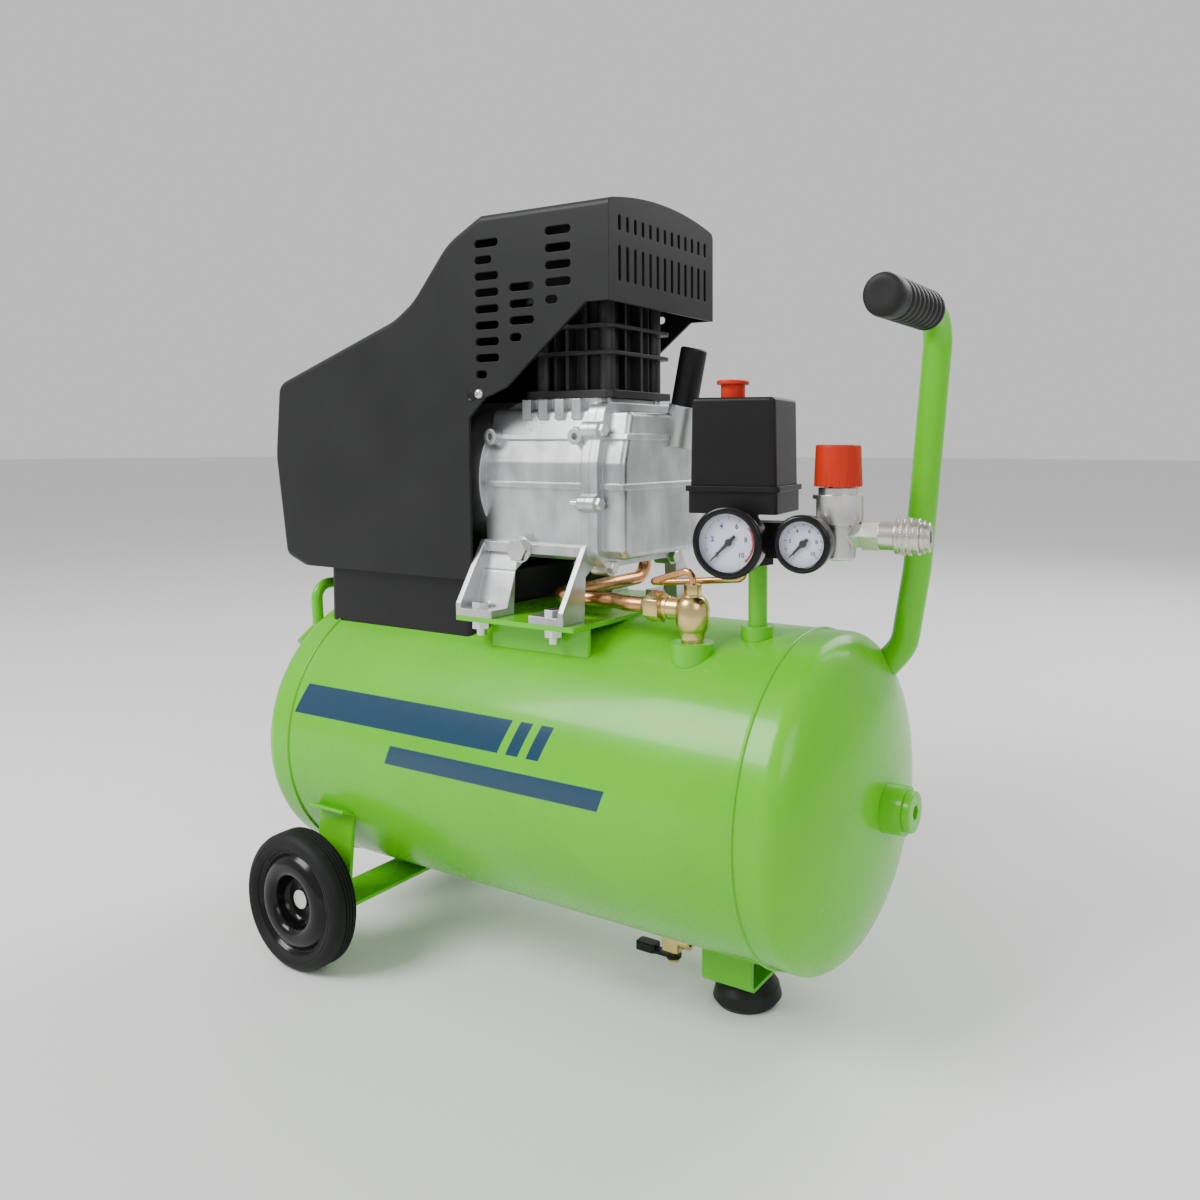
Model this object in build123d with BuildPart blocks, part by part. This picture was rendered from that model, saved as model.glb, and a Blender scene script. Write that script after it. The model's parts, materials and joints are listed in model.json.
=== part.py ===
"""Direct-drive piston air compressor on a horizontal air tank.

Millimetres. +X runs along the tank towards the gauges and the handle, +Y away from the gauge side,
+Z up. The origin is on the floor, below the middle of the whole machine.
"""

import os
from math import cos, radians, sin, sqrt

from build123d import *

os.makedirs("parts", exist_ok=True)

# ---- driving dimensions -------------------------------------------------------------------------

# air tank
TANK_R = 125.0
TANK_WALL = 2.5
TANK_X = -9.0
TANK_Z = 176.0
TANK_HALF = 241.0
TANK_DOME = 42.0
SEAM_HALF = 222.0
SEAM_BEAD = 1.4

# wheels, wheel bracket and foot
WHEEL_X = -194.0
WHEEL_R = 58.0
WHEEL_FACE_Y = 155.0
WHEEL_W = 25.0
HUB_R = 44.0
HUB_BORE = 5.05
AXLE_R = 5.0
BRACKET_T = 3.0
BRACKET_X = -182.0
BRACKET_W = 42.0
BRACKET_Y = 121.0
BRACKET_TOP = 131.0
FOOT_X = 157.0
FOOT_R = 27.5
FOOT_H = 24.0
FOOT_BRACKET_W = 44.0
FOOT_BRACKET_HALF = 32.0

# crankcase and its saddle
SADDLE_TOP = 303.0
SADDLE_X0 = -62.0
SADDLE_X1 = 58.0
SADDLE_EDGE_Y = 92.0
SADDLE_WEB_Y = 72.0
SADDLE_T = 4.0
FOOT_BOLT_XS = (-44.0, 31.0)
FOOT_BOLT_Y = 82.0
M8_R = 4.0
CRANK_Z = 412.0
CASE_X0 = -60.0
CASE_SEAM = 50.0
CASE_FLANGE = 8.0
CASE_WALL = 8.0
COVER_X1 = 78.0
DECK_Z = 478.0

# cylinder, piston and crank
CYL_X = 14.0
BORE_R = 23.6
PISTON_R = 23.54
STROKE = 38.0
ROD_LENGTH = 108.0
CYL_TOP = 562.0
FIN_HALF = 45.0
HEAD_TOP = 600.0
HEAD_BOLT_PITCH = 64.0
SHAFT_R = 8.5
BEARING_R = 20.0
BEARING_W = 12.0

# motor
STATOR_X0 = -178.0
STATOR_X1 = -82.0
STATOR_R = 62.0
ROTOR_R = 34.0
MOTOR_SHELL = 4.0
BELL_X0 = -112.0
END_CAP_X1 = -148.0
FAN_X = -222.0
FAN_R = 66.0

# hood and air duct
HOOD_Y = 75.0
HOOD_T = 2.5
HOOD_X1 = 80.0
HOOD_CROWN = 632.0
HOOD_EDGE_Z = 623.0
HOOD_BOTTOM = 329.0
HOOD_SIDE_BOTTOM = 548.0
HOOD_SIDE_X = -62.0
DUCT_X0 = -244.0
DUCT_X1 = -66.0
DUCT_Y = 69.0

# air control unit: riser pipe, manifold, switch, gauges, regulator and coupler
UNIT_X = 179.0
UNIT_Y = -25.0
UNIT_TURN = 10.0
RISER_R = 7.2
MANIFOLD_Z = 372.0
MANIFOLD_TOP = 391.0
SWITCH_Z0 = 391.0
SWITCH_SPLIT = 411.0
SWITCH_TOP = 475.0
GAUGE_Z = 372.0
REGULATOR_X = 61.0
COUPLER_X0 = 80.0
COUPLER_X1 = 128.0
COUPLER_Z = 376.0
COUPLER_BORE = 5.0

# handle
TUBE_R = 11.0
GRIP_R = 15.0
GRIP_X = 289.0
GRIP_Z = 539.0
HANDLE_Y = 62.0
GRIP_Y0 = -60.0
GRIP_Y1 = 50.0

# pipework
VALVE_X = 141.0
VALVE_Y = -56.0
DISCHARGE_Z = 319.0
DISCHARGE_R = 6.0
UNLOADER_R = 2.6


# ---- shared shapes ------------------------------------------------------------------------------


def finish(piece, name):
    """Label a finished piece and write its STEP file."""
    piece.part.label = name
    export_step(piece.part, f"parts/{name}.step")


def tank_plane():
    """Section plane through the tank axis: local x along the tank, local y up."""
    return Plane(origin=(TANK_X, 0, TANK_Z), x_dir=(1, 0, 0), z_dir=(0, -1, 0))


def tank_solid(radius, dome, with_seams):
    """Solid of revolution with two elliptical heads, and the weld bead at each head seam."""
    with BuildPart() as body:
        with BuildSketch(tank_plane()):
            with BuildLine():
                EllipticalCenterArc((TANK_HALF, 0), dome, radius, 0, arc_size=90)
                Polyline((TANK_HALF, radius), (0, radius), (0, 0), (TANK_HALF + dome, 0))
            make_face()
            if with_seams:
                with Locations((SEAM_HALF, radius)):
                    Circle(SEAM_BEAD)
        revolve(axis=Axis((TANK_X, 0, TANK_Z), (1, 0, 0)))
        mirror(about=Plane.YZ.offset(TANK_X))
    return body.part


def surface_z(y):
    """Height of the top of the tank's barrel at a sideways distance y."""
    return TANK_Z + sqrt(TANK_R**2 - y**2)


def level(z, x=0.0, y=0.0):
    """Horizontal plane at height z, centred on x and y."""
    return Plane.XY.offset(z).move(Location((x, y, 0)))


def facing_x(x, y=0.0, z=0.0):
    """Plane that faces +X: local x along +Y, local y up."""
    return Plane(origin=(x, y, z), x_dir=(0, 1, 0), z_dir=(1, 0, 0))


def facing_front(x, y, z):
    """Plane that faces -Y: local x along +X, local y up."""
    return Plane(origin=(x, y, z), x_dir=(1, 0, 0), z_dir=(0, -1, 0))


def hex_bolt(plane, radius, length, head_across, head_height):
    """Hexagon bolt: the head stands on the plane, and the shank runs against its normal."""
    with BuildPart() as bolt:
        with BuildSketch(plane):
            RegularPolygon(head_across / 2, 6, major_radius=False)
        extrude(amount=head_height)
        chamfer(bolt.faces().sort_by(Axis(plane.origin, plane.z_dir))[-1].edges(), 0.6)
        with BuildSketch(plane):
            Circle(radius)
        extrude(amount=-length)
    return bolt.part


def hex_nut(plane, radius, across, height):
    """Hexagon nut that stands on the plane."""
    with BuildPart() as nut:
        with BuildSketch(plane):
            RegularPolygon(across / 2, 6, major_radius=False)
            Circle(radius, mode=Mode.SUBTRACT)
        extrude(amount=height)
    return nut.part


def tube_along(points, radii, radius, bore):
    """Round tube along straight runs that are joined by tangent arcs."""
    with BuildPart() as tube:
        with BuildLine() as route:
            FilletPolyline(*points, radius=radii)
        start = Vector(*points[0])
        heading = (Vector(*points[1]) - start).normalized()
        with BuildSketch(Plane(origin=start, z_dir=heading)):
            Circle(radius)
            if bore:
                Circle(bore, mode=Mode.SUBTRACT)
        sweep(path=route.wires()[0])
    return tube.part


ENVELOPE = tank_solid(TANK_R, TANK_DOME, True)

# ---- air tank and what is welded to it ----------------------------------------------------------

TANK_END_X = TANK_X + TANK_HALF + TANK_DOME
END_BOSS_FACE = TANK_END_X + 15.0
END_PLUG_FACE = END_BOSS_FACE + 6.0
DRAIN_X = 87.0
DRAIN_Z = TANK_Z - TANK_R
VALVE_BOSS_TOP = 295.0
RISER_BOSS_TOP = 306.0

with BuildPart() as tank_shell:
    add(ENVELOPE)
    add(tank_solid(TANK_R - TANK_WALL, TANK_DOME - TANK_WALL, False), mode=Mode.SUBTRACT)
    with BuildSketch(level(TANK_Z, VALVE_X, VALVE_Y)):
        Circle(7.0)
    extrude(amount=2 * TANK_R, mode=Mode.SUBTRACT)
    with BuildSketch(level(TANK_Z, UNIT_X, UNIT_Y)):
        Circle(6.0)
    extrude(amount=2 * TANK_R, mode=Mode.SUBTRACT)
    with BuildSketch(level(TANK_Z, DRAIN_X, 0)):
        Circle(5.0)
    extrude(amount=-2 * TANK_R, mode=Mode.SUBTRACT)
    with BuildSketch(facing_x(TANK_X + TANK_HALF, 0, TANK_Z)):
        Circle(9.0)
    extrude(amount=2 * TANK_DOME, mode=Mode.SUBTRACT)
finish(tank_shell, "tank_shell")

with BuildPart() as tank_bosses:
    with BuildSketch(level(TANK_Z + TANK_R / 2, VALVE_X, VALVE_Y)):
        Circle(16.0)
        Circle(8.5, mode=Mode.SUBTRACT)
    extrude(amount=VALVE_BOSS_TOP - TANK_Z - TANK_R / 2)
    with BuildSketch(level(TANK_Z + TANK_R / 2, UNIT_X, UNIT_Y)):
        Circle(12.5)
        Circle(RISER_R, mode=Mode.SUBTRACT)
    extrude(amount=RISER_BOSS_TOP - TANK_Z - TANK_R / 2)
    with BuildSketch(level(DRAIN_Z - 8.0, DRAIN_X, 0)):
        Circle(11.0)
        Circle(6.5, mode=Mode.SUBTRACT)
    extrude(amount=20.0)
    with BuildSketch(facing_x(END_BOSS_FACE, 0, TANK_Z)):
        Circle(18.0)
        Circle(12.0, mode=Mode.SUBTRACT)
    extrude(amount=-30.0)
    add(ENVELOPE, mode=Mode.SUBTRACT)
finish(tank_bosses, "tank_bosses")

with BuildPart() as tank_end_plug:
    with BuildSketch(facing_x(END_BOSS_FACE - 12.0, 0, TANK_Z)):
        Circle(12.0)
    extrude(amount=12.0)
    with BuildSketch(facing_x(END_BOSS_FACE, 0, TANK_Z)):
        Circle(15.0)
    extrude(amount=END_PLUG_FACE - END_BOSS_FACE)
    fillet(tank_end_plug.faces().sort_by(Axis.X)[-1].edges(), 1.5)
    with BuildSketch(facing_x(END_PLUG_FACE, 0, TANK_Z)):
        RegularPolygon(5.0, 6, major_radius=False)
    extrude(amount=-7.0, mode=Mode.SUBTRACT)
finish(tank_end_plug, "tank_end_plug")

with BuildPart() as saddle_bracket:
    with BuildSketch(Plane.YZ.offset(SADDLE_X0)):
        with Locations((0, SADDLE_TOP)):
            Rectangle(2 * SADDLE_EDGE_Y, SADDLE_T, align=(Align.CENTER, Align.MAX))
    extrude(amount=SADDLE_X1 - SADDLE_X0)
    with BuildSketch(Plane.YZ.offset(SADDLE_X0 + 22.0)):
        with Locations((SADDLE_WEB_Y, SADDLE_TOP), (-SADDLE_WEB_Y, SADDLE_TOP)):
            Rectangle(SADDLE_T, 40.0, align=(Align.CENTER, Align.MAX))
    extrude(amount=SADDLE_X1 - SADDLE_X0 - 22.0)
    with BuildSketch(level(SADDLE_TOP)):
        with Locations([(x, side * FOOT_BOLT_Y) for x in FOOT_BOLT_XS for side in (-1, 1)]):
            Circle(M8_R + 0.3)
    extrude(amount=-2 * SADDLE_T, mode=Mode.SUBTRACT)
    fillet(saddle_bracket.edges().filter_by(Axis.Z).group_by(Axis.X)[-1], 1.5)
    add(ENVELOPE, mode=Mode.SUBTRACT)
finish(saddle_bracket, "saddle_bracket")

BRACKET_LOW = TANK_Z - TANK_R - BRACKET_T
TANK_SIDE_Y = sqrt(TANK_R**2 - (BRACKET_TOP - 4.0 - TANK_Z) ** 2)

with BuildPart() as wheel_bracket:
    with BuildSketch(facing_x(BRACKET_X - BRACKET_W / 2)):
        with BuildLine():
            FilletPolyline(
                (-BRACKET_Y - 4.0, BRACKET_TOP + 1.0),
                (-TANK_SIDE_Y + 1.0, BRACKET_TOP - 3.0),
                (-BRACKET_Y, BRACKET_LOW + BRACKET_T / 2),
                (BRACKET_Y, BRACKET_LOW + BRACKET_T / 2),
                (TANK_SIDE_Y - 1.0, BRACKET_TOP - 3.0),
                (BRACKET_Y + 4.0, BRACKET_TOP + 1.0),
                radius=4.0,
            )
            offset(amount=BRACKET_T / 2, side=Side.BOTH)
        make_face()
    extrude(amount=BRACKET_W)
    add(ENVELOPE, mode=Mode.SUBTRACT)
    with BuildSketch(Plane.XZ.offset(2 * TANK_R)):
        with Locations((WHEEL_X, WHEEL_R)):
            Circle(AXLE_R + 0.2)
    extrude(amount=-4 * TANK_R, mode=Mode.SUBTRACT)
finish(wheel_bracket, "wheel_bracket")

with BuildPart() as foot_bracket:
    with BuildSketch(facing_x(FOOT_X - FOOT_BRACKET_W / 2)):
        with BuildLine():
            FilletPolyline(
                (-FOOT_BRACKET_HALF, TANK_Z - TANK_R + 14.0),
                (-FOOT_BRACKET_HALF, FOOT_H + BRACKET_T / 2),
                (FOOT_BRACKET_HALF, FOOT_H + BRACKET_T / 2),
                (FOOT_BRACKET_HALF, TANK_Z - TANK_R + 14.0),
                radius=4.0,
            )
            offset(amount=BRACKET_T / 2, side=Side.BOTH)
        make_face()
    extrude(amount=FOOT_BRACKET_W)
    add(ENVELOPE, mode=Mode.SUBTRACT)
    with BuildSketch(level(0, FOOT_X)):
        Circle(M8_R + 0.3)
    extrude(amount=TANK_Z - TANK_R, mode=Mode.SUBTRACT)
finish(foot_bracket, "foot_bracket")

with BuildPart() as rubber_foot:
    with BuildSketch(Plane.XZ):
        with BuildLine():
            Polyline((FOOT_X, 0), (FOOT_X + FOOT_R - 3.0, 0), (FOOT_X + FOOT_R, 4.0))
            Line((FOOT_X + FOOT_R, 4.0), (FOOT_X + FOOT_R - 2.0, 12.0))
            Line((FOOT_X + FOOT_R - 2.0, 12.0), (FOOT_X + 17.0, FOOT_H))
            Polyline((FOOT_X + 17.0, FOOT_H), (FOOT_X, FOOT_H), (FOOT_X, 0))
        make_face()
    revolve(axis=Axis((FOOT_X, 0, 0), (0, 0, 1)))
    with BuildSketch(level(0, FOOT_X)):
        Circle(11.0)
    extrude(amount=9.0, mode=Mode.SUBTRACT)
    with BuildSketch(level(0, FOOT_X)):
        Circle(M8_R)
    extrude(amount=FOOT_H, mode=Mode.SUBTRACT)
finish(rubber_foot, "rubber_foot")

# ---- handle and rear loop -----------------------------------------------------------------------

handle_route = [
    (244.0, HANDLE_Y, 262.0),
    (263.0, HANDLE_Y, 284.0),
    (273.0, HANDLE_Y, 345.0),
    (GRIP_X, HANDLE_Y, GRIP_Z),
    (GRIP_X, GRIP_Y0 + 3.0, GRIP_Z),
]

with BuildPart() as handle_tube:
    add(tube_along(handle_route, [30.0, 60.0, 26.0], TUBE_R, 0.0))
    add(ENVELOPE, mode=Mode.SUBTRACT)
finish(handle_tube, "handle_tube")

GRIP_RIBS = 9

with BuildPart() as handle_grip:
    with BuildSketch(Plane.XZ.offset(-(HANDLE_Y - 33.0))):
        with Locations((GRIP_X, GRIP_Z)):
            Circle(GRIP_R)
    extrude(amount=HANDLE_Y - 33.0 - GRIP_Y0)
    fillet(handle_grip.edges().filter_by(GeomType.CIRCLE), 3.0)
    for rib in range(GRIP_RIBS):
        with BuildSketch(Plane.XZ.offset(-(HANDLE_Y - 41.0) + rib * 8.5)):
            with Locations((GRIP_X, GRIP_Z)):
                Circle(GRIP_R + 1.0)
                Circle(GRIP_R - 1.2, mode=Mode.SUBTRACT)
        extrude(amount=2.5, mode=Mode.SUBTRACT)
    with BuildSketch(Plane.XZ.offset(-GRIP_Y0 - 3.0)):
        with Locations((GRIP_X, GRIP_Z)):
            Circle(TUBE_R)
    extrude(amount=-2 * HANDLE_Y, mode=Mode.SUBTRACT)
finish(handle_grip, "handle_grip")

LOOP_X = -272.0
LOOP_TOP = 309.0
LOOP_HALF = 62.0
LOOP_R = 5.0
loop_route = [
    (LOOP_X + 2.0, -LOOP_HALF - 18.0, 257.0),
    (LOOP_X + 2.0, -LOOP_HALF, 270.0),
    (LOOP_X, -LOOP_HALF, LOOP_TOP),
    (LOOP_X, LOOP_HALF, LOOP_TOP),
    (LOOP_X + 2.0, LOOP_HALF, 270.0),
    (LOOP_X + 2.0, LOOP_HALF + 18.0, 257.0),
]

with BuildPart() as rear_loop:
    add(tube_along(loop_route, [8.0, 14.0, 14.0, 8.0], LOOP_R, 0.0))
    add(ENVELOPE, mode=Mode.SUBTRACT)
finish(rear_loop, "rear_loop")

# ---- wheels -------------------------------------------------------------------------------------


def wheel_pieces(side):
    """Tyre and hub of one wheel; side is -1 for the front wheel and 1 for the rear one."""
    inner = side * (WHEEL_FACE_Y - WHEEL_W)
    outer = side * WHEEL_FACE_Y
    mid = (inner + outer) / 2
    axis = Axis((WHEEL_X, 0, WHEEL_R), (0, 1, 0))
    section = Plane(origin=(WHEEL_X, 0, WHEEL_R), x_dir=(0, 0, 1), z_dir=(1, 0, 0))
    half = WHEEL_W / 2
    across = [(HUB_R, half - 3), (WHEEL_R - 6, half), (WHEEL_R - 1.5, half - 5), (WHEEL_R, 0)]
    with BuildPart() as tyre:
        with BuildSketch(section):
            with BuildLine():
                near = [(r, -mid + w) for r, w in across]
                far = [(r, -mid - w) for r, w in reversed(across)]
                Polyline(*near, *far[1:], near[0])
            make_face()
            with Locations(*[(WHEEL_R, -mid + step) for step in (-6.5, -2.2, 2.2, 6.5)]):
                Rectangle(2.6, 1.4, mode=Mode.SUBTRACT)
        revolve(axis=axis)
    with BuildPart() as hub:
        with BuildSketch(section):
            with BuildLine():
                Polyline(
                    (HUB_BORE, -inner),
                    (14.0, -inner),
                    (18.0, -mid + side * 2.0),
                    (HUB_R - 5.0, -mid + side * 6.0),
                    (HUB_R - 3.0, -mid + side * 9.0),
                    (HUB_R, -mid + side * 9.0),
                    (HUB_R, -mid - side * 9.0),
                    (HUB_R - 3.0, -mid - side * 9.0),
                    (HUB_R - 9.0, -mid - side * 6.0),
                    (HUB_R - 16.0, -outer + side * 1.0),
                    (HUB_R - 22.0, -outer + side * 1.0),
                    (16.5, -mid - side * 6.0),
                    (15.0, -mid + side * 3.0),
                    (HUB_BORE, -mid + side * 3.0),
                    (HUB_BORE, -inner),
                )
            make_face()
        revolve(axis=axis)
    return tyre, hub


for side, name in ((-1, "front"), (1, "rear")):
    tyre, hub = wheel_pieces(side)
    finish(tyre, f"{name}_tyre")
    finish(hub, f"{name}_hub")

AXLE_HEAD_Y = WHEEL_FACE_Y - WHEEL_W / 2 - 2.6

with BuildPart() as axle_bolts:
    for side in (-1, 1):
        out = Plane(origin=(WHEEL_X, side * AXLE_HEAD_Y, WHEEL_R), x_dir=(1, 0, 0), z_dir=(0, side, 0))
        with BuildSketch(out):
            Circle(8.0)
        extrude(amount=4.0)
        with BuildSketch(out):
            Circle(AXLE_R)
        extrude(amount=-(AXLE_HEAD_Y - BRACKET_Y + 14.0))
        seat = Plane(
            origin=(WHEEL_X, side * (WHEEL_FACE_Y - WHEEL_W - 0.3), WHEEL_R),
            x_dir=(1, 0, 0),
            z_dir=(0, -side, 0),
        )
        add(hex_nut(seat, AXLE_R, 15.0, 4.0))
finish(axle_bolts, "axle_bolts")

# ---- drain valve --------------------------------------------------------------------------------

DRAIN_BARREL_Z = 31.0
DRAIN_BODY_LOW = 22.0
LEVER_Z = 15.0
LEVER_T = 2.6
LEVER_GRIP = 7.0

with BuildPart() as drain_valve:
    with BuildSketch(level(DRAIN_Z - 1.0, DRAIN_X)):
        Circle(6.5)
    extrude(amount=-10.0)
    with BuildSketch(level(DRAIN_Z - 8.0, DRAIN_X)):
        RegularPolygon(9.0, 6, major_radius=False)
    extrude(amount=-5.0)
    with BuildSketch(level(DRAIN_BODY_LOW, DRAIN_X)):
        RectangleRounded(16.0, 14.0, 2.0)
    extrude(amount=DRAIN_Z - 12.0 - DRAIN_BODY_LOW)
    with BuildSketch(facing_x(DRAIN_X + 7.0, 0, DRAIN_BARREL_Z)):
        Circle(6.2)
    extrude(amount=10.0)
    with BuildSketch(facing_x(DRAIN_X + 17.0, 0, DRAIN_BARREL_Z)):
        Circle(3.5)
    extrude(amount=-12.0, mode=Mode.SUBTRACT)
    with BuildSketch(level(DRAIN_BODY_LOW, DRAIN_X)):
        Circle(3.0)
    extrude(amount=-(DRAIN_BODY_LOW - LEVER_Z + 0.6))
    with BuildSketch(level(LEVER_Z - 0.6, DRAIN_X)):
        Circle(5.0)
    extrude(amount=-2.0)
finish(drain_valve, "drain_valve")

with BuildPart() as drain_lever:
    with BuildSketch(level(LEVER_Z, DRAIN_X)):
        Circle(6.5)
        with Locations((-16.0, 0)):
            Rectangle(30.0, 8.0)
        Circle(3.06, mode=Mode.SUBTRACT)
    extrude(amount=LEVER_T)
    with BuildSketch(level(LEVER_Z, DRAIN_X)):
        with Locations((-26.0, 0)):
            RectangleRounded(20.0, 11.0, 3.0)
    extrude(amount=LEVER_GRIP)
    fillet(drain_lever.faces().sort_by(Axis.Z)[-1].edges(), 1.0)
finish(drain_lever, "drain_lever")

# ---- crankcase ----------------------------------------------------------------------------------

CASE_HALF = 58.0
CASE_LOW = 348.0
LEG_OUT = 92.0
LEG_TOP = 362.0
PAD_TOP = SADDLE_TOP + 6.0
RIDGE_LEVELS = (408.0, 447.0)
RIDGE_T = 4.5
RIDGE_OUT = 2.0
BOSS_XS = (-52.0, 36.0)
BOSS_Z = 447.0
DECK_BLOCK_XS = (-22.0, -5.0, 12.0, 29.0)
case_outline = [
    (-50.0, CASE_LOW),
    (50.0, CASE_LOW),
    (CASE_HALF, CASE_LOW + 9.0),
    (CASE_HALF, 426.0),
    (47.0, 470.0),
    (-47.0, 470.0),
    (-CASE_HALF, 426.0),
    (-CASE_HALF, CASE_LOW + 9.0),
]
flange_bolt_spots = [
    (-CASE_HALF - 3.0, 395.0),
    (CASE_HALF + 3.0, 395.0),
    (-44.0, CASE_LOW - 4.0),
    (44.0, CASE_LOW - 4.0),
    (-56.0, 452.0),
    (56.0, 452.0),
]


def case_section(grow):
    """Crankcase cross-section, larger or smaller all round by grow."""
    with BuildSketch() as section:
        with BuildLine():
            Polyline(*case_outline, close=True)
        make_face()
        fillet(section.vertices(), 7.0)
        if grow:
            offset(amount=grow)
    return section.sketch


def leg_plate(x0, x1, profile, side):
    """Plate of a crankcase leg between two X planes; side picks the front or the rear leg."""
    with BuildPart() as plate:
        with BuildSketch(Plane.YZ.offset(x0)):
            with BuildLine():
                Polyline(*[(side * y, z) for y, z in profile], close=True)
            make_face()
        extrude(amount=x1 - x0)
    return plate.part


def ridge_section(grow, ridge_z):
    """Slice of the grown crankcase section that forms one raised ridge."""
    with BuildSketch() as band:
        add(case_section(grow))
        with Locations((0, ridge_z)):
            Rectangle(4 * CASE_HALF, RIDGE_T, mode=Mode.INTERSECT)
    return band.sketch


rib_profile = [
    (CASE_HALF - 6, LEG_TOP),
    (CASE_HALF + 5, LEG_TOP),
    (LEG_OUT, PAD_TOP + 4),
    (LEG_OUT, SADDLE_TOP),
    (66.0, SADDLE_TOP),
    (64.0, 338.0),
    (CASE_HALF - 12, CASE_LOW + 2),
]
web_profile = [
    (CASE_HALF - 6, LEG_TOP - 6),
    (CASE_HALF, LEG_TOP - 6),
    (74.0, PAD_TOP),
    (74.0, SADDLE_TOP),
    (66.0, SADDLE_TOP),
    (64.0, 338.0),
    (CASE_HALF - 12, CASE_LOW + 2),
]
leg_plates = [
    (-62.0, -57.0, rib_profile),
    (-57.0, -24.0, web_profile),
    (36.0, 43.0, web_profile),
    (43.0, 48.0, rib_profile),
]
pads = [(-62.0, -24.0), (14.0, 48.0)]
pad_profile = [
    (66.0, SADDLE_TOP),
    (66.0, PAD_TOP),
    (LEG_OUT, PAD_TOP),
    (LEG_OUT, SADDLE_TOP),
]

with BuildPart() as crankcase:
    with BuildSketch(Plane.YZ.offset(CASE_X0)):
        add(case_section(0.0))
    extrude(amount=CASE_SEAM - CASE_X0)
    with BuildSketch(Plane.YZ.offset(CASE_SEAM - CASE_FLANGE)):
        add(case_section(4.0))
        with Locations(*flange_bolt_spots):
            Circle(7.0)
    extrude(amount=CASE_FLANGE)
    for ridge_z in RIDGE_LEVELS:
        with BuildSketch(Plane.YZ.offset(CASE_X0 + 4.0)):
            add(ridge_section(RIDGE_OUT, ridge_z))
        extrude(amount=CASE_SEAM - CASE_X0 - 4.0)
    with BuildSketch(level(DECK_Z - 10.0, CYL_X - 5.0)):
        RectangleRounded(78.0, 88.0, 6.0)
    extrude(amount=10.0)
    with BuildSketch(level(DECK_Z - 17.0)):
        with Locations([(x, side * 46.0) for x in DECK_BLOCK_XS for side in (-1, 1)]):
            Rectangle(9.0, 10.0)
    extrude(amount=16.0)
    for side in (-1, 1):
        for x0, x1, profile in leg_plates:
            add(leg_plate(x0, x1, profile, side))
        for x0, x1 in pads:
            add(leg_plate(x0, x1, pad_profile, side))
        with BuildSketch(facing_front((CASE_X0 + CASE_SEAM) / 2, side * (CASE_HALF - 4), 357.0)):
            Rectangle(CASE_SEAM - CASE_X0 - 6.0, 8.0)
        extrude(amount=-side * 10.0)
    for boss_x in BOSS_XS:
        with BuildSketch(facing_front(boss_x, -48.0, BOSS_Z)):
            Circle(6.5)
        extrude(amount=14.0)
        with BuildSketch(facing_front(boss_x, -62.0, BOSS_Z)):
            Circle(2.8)
        extrude(amount=-7.0, mode=Mode.SUBTRACT)
    with BuildSketch(Plane.YZ.offset(CASE_X0 + CASE_WALL)):
        add(case_section(-CASE_WALL))
    extrude(amount=CASE_SEAM - CASE_X0, mode=Mode.SUBTRACT)
    with BuildSketch(facing_x(CASE_X0, 0, CRANK_Z)):
        Circle(STATOR_R + MOTOR_SHELL)
    extrude(amount=BELL_X0 - CASE_X0)
    with BuildSketch(facing_x(BELL_X0, 0, CRANK_Z)):
        Circle(STATOR_R)
    extrude(amount=CASE_X0 - 6.0 - BELL_X0, mode=Mode.SUBTRACT)
    with BuildSketch(facing_x(CASE_X0 - 6.0, 0, CRANK_Z)):
        Circle(BEARING_R + 8.0)
    extrude(amount=BEARING_W + 8.0)
    with BuildSketch(facing_x(CASE_X0 - 4.0, 0, CRANK_Z)):
        Circle(BEARING_R)
    extrude(amount=2 * BEARING_W, mode=Mode.SUBTRACT)
    with BuildSketch(facing_x(CASE_X0 - 6.0, 0, CRANK_Z)):
        Circle(SHAFT_R + 3.0)
    extrude(amount=2 * BEARING_W, mode=Mode.SUBTRACT)
    with BuildSketch(level(DECK_Z, CYL_X)):
        Circle(29.0)
    extrude(amount=-30.0, mode=Mode.SUBTRACT)
    with BuildSketch(level(DECK_Z, CYL_X)):
        with GridLocations(HEAD_BOLT_PITCH, HEAD_BOLT_PITCH, 2, 2):
            Circle(3.4)
    extrude(amount=-20.0, mode=Mode.SUBTRACT)
    with BuildSketch(level(SADDLE_TOP)):
        with Locations([(x, side * FOOT_BOLT_Y) for x in FOOT_BOLT_XS for side in (-1, 1)]):
            Circle(M8_R + 0.3)
    extrude(amount=PAD_TOP - SADDLE_TOP, mode=Mode.SUBTRACT)
    with BuildSketch(facing_front(-17.0, -CASE_HALF + 20.0, 356.0)):
        Circle(6.0)
    extrude(amount=40.0, mode=Mode.SUBTRACT)
    with BuildSketch(Plane.YZ.offset(CASE_SEAM)):
        with Locations(*flange_bolt_spots):
            Circle(2.6)
    extrude(amount=-CASE_FLANGE - 12.0, mode=Mode.SUBTRACT)
finish(crankcase, "crankcase")

BREATHER_Y = 22.0
BREATHER_TILT = 12.0
BREATHER_UP = Vector(sin(radians(BREATHER_TILT)), 0, cos(radians(BREATHER_TILT)))
BREATHER_SEAT = Vector(84.0, BREATHER_Y, 473.0)
BREATHER_BORE = 8.0
BREATHER_PLANE = Plane(origin=BREATHER_SEAT, x_dir=(0, 1, 0), z_dir=BREATHER_UP)

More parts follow.
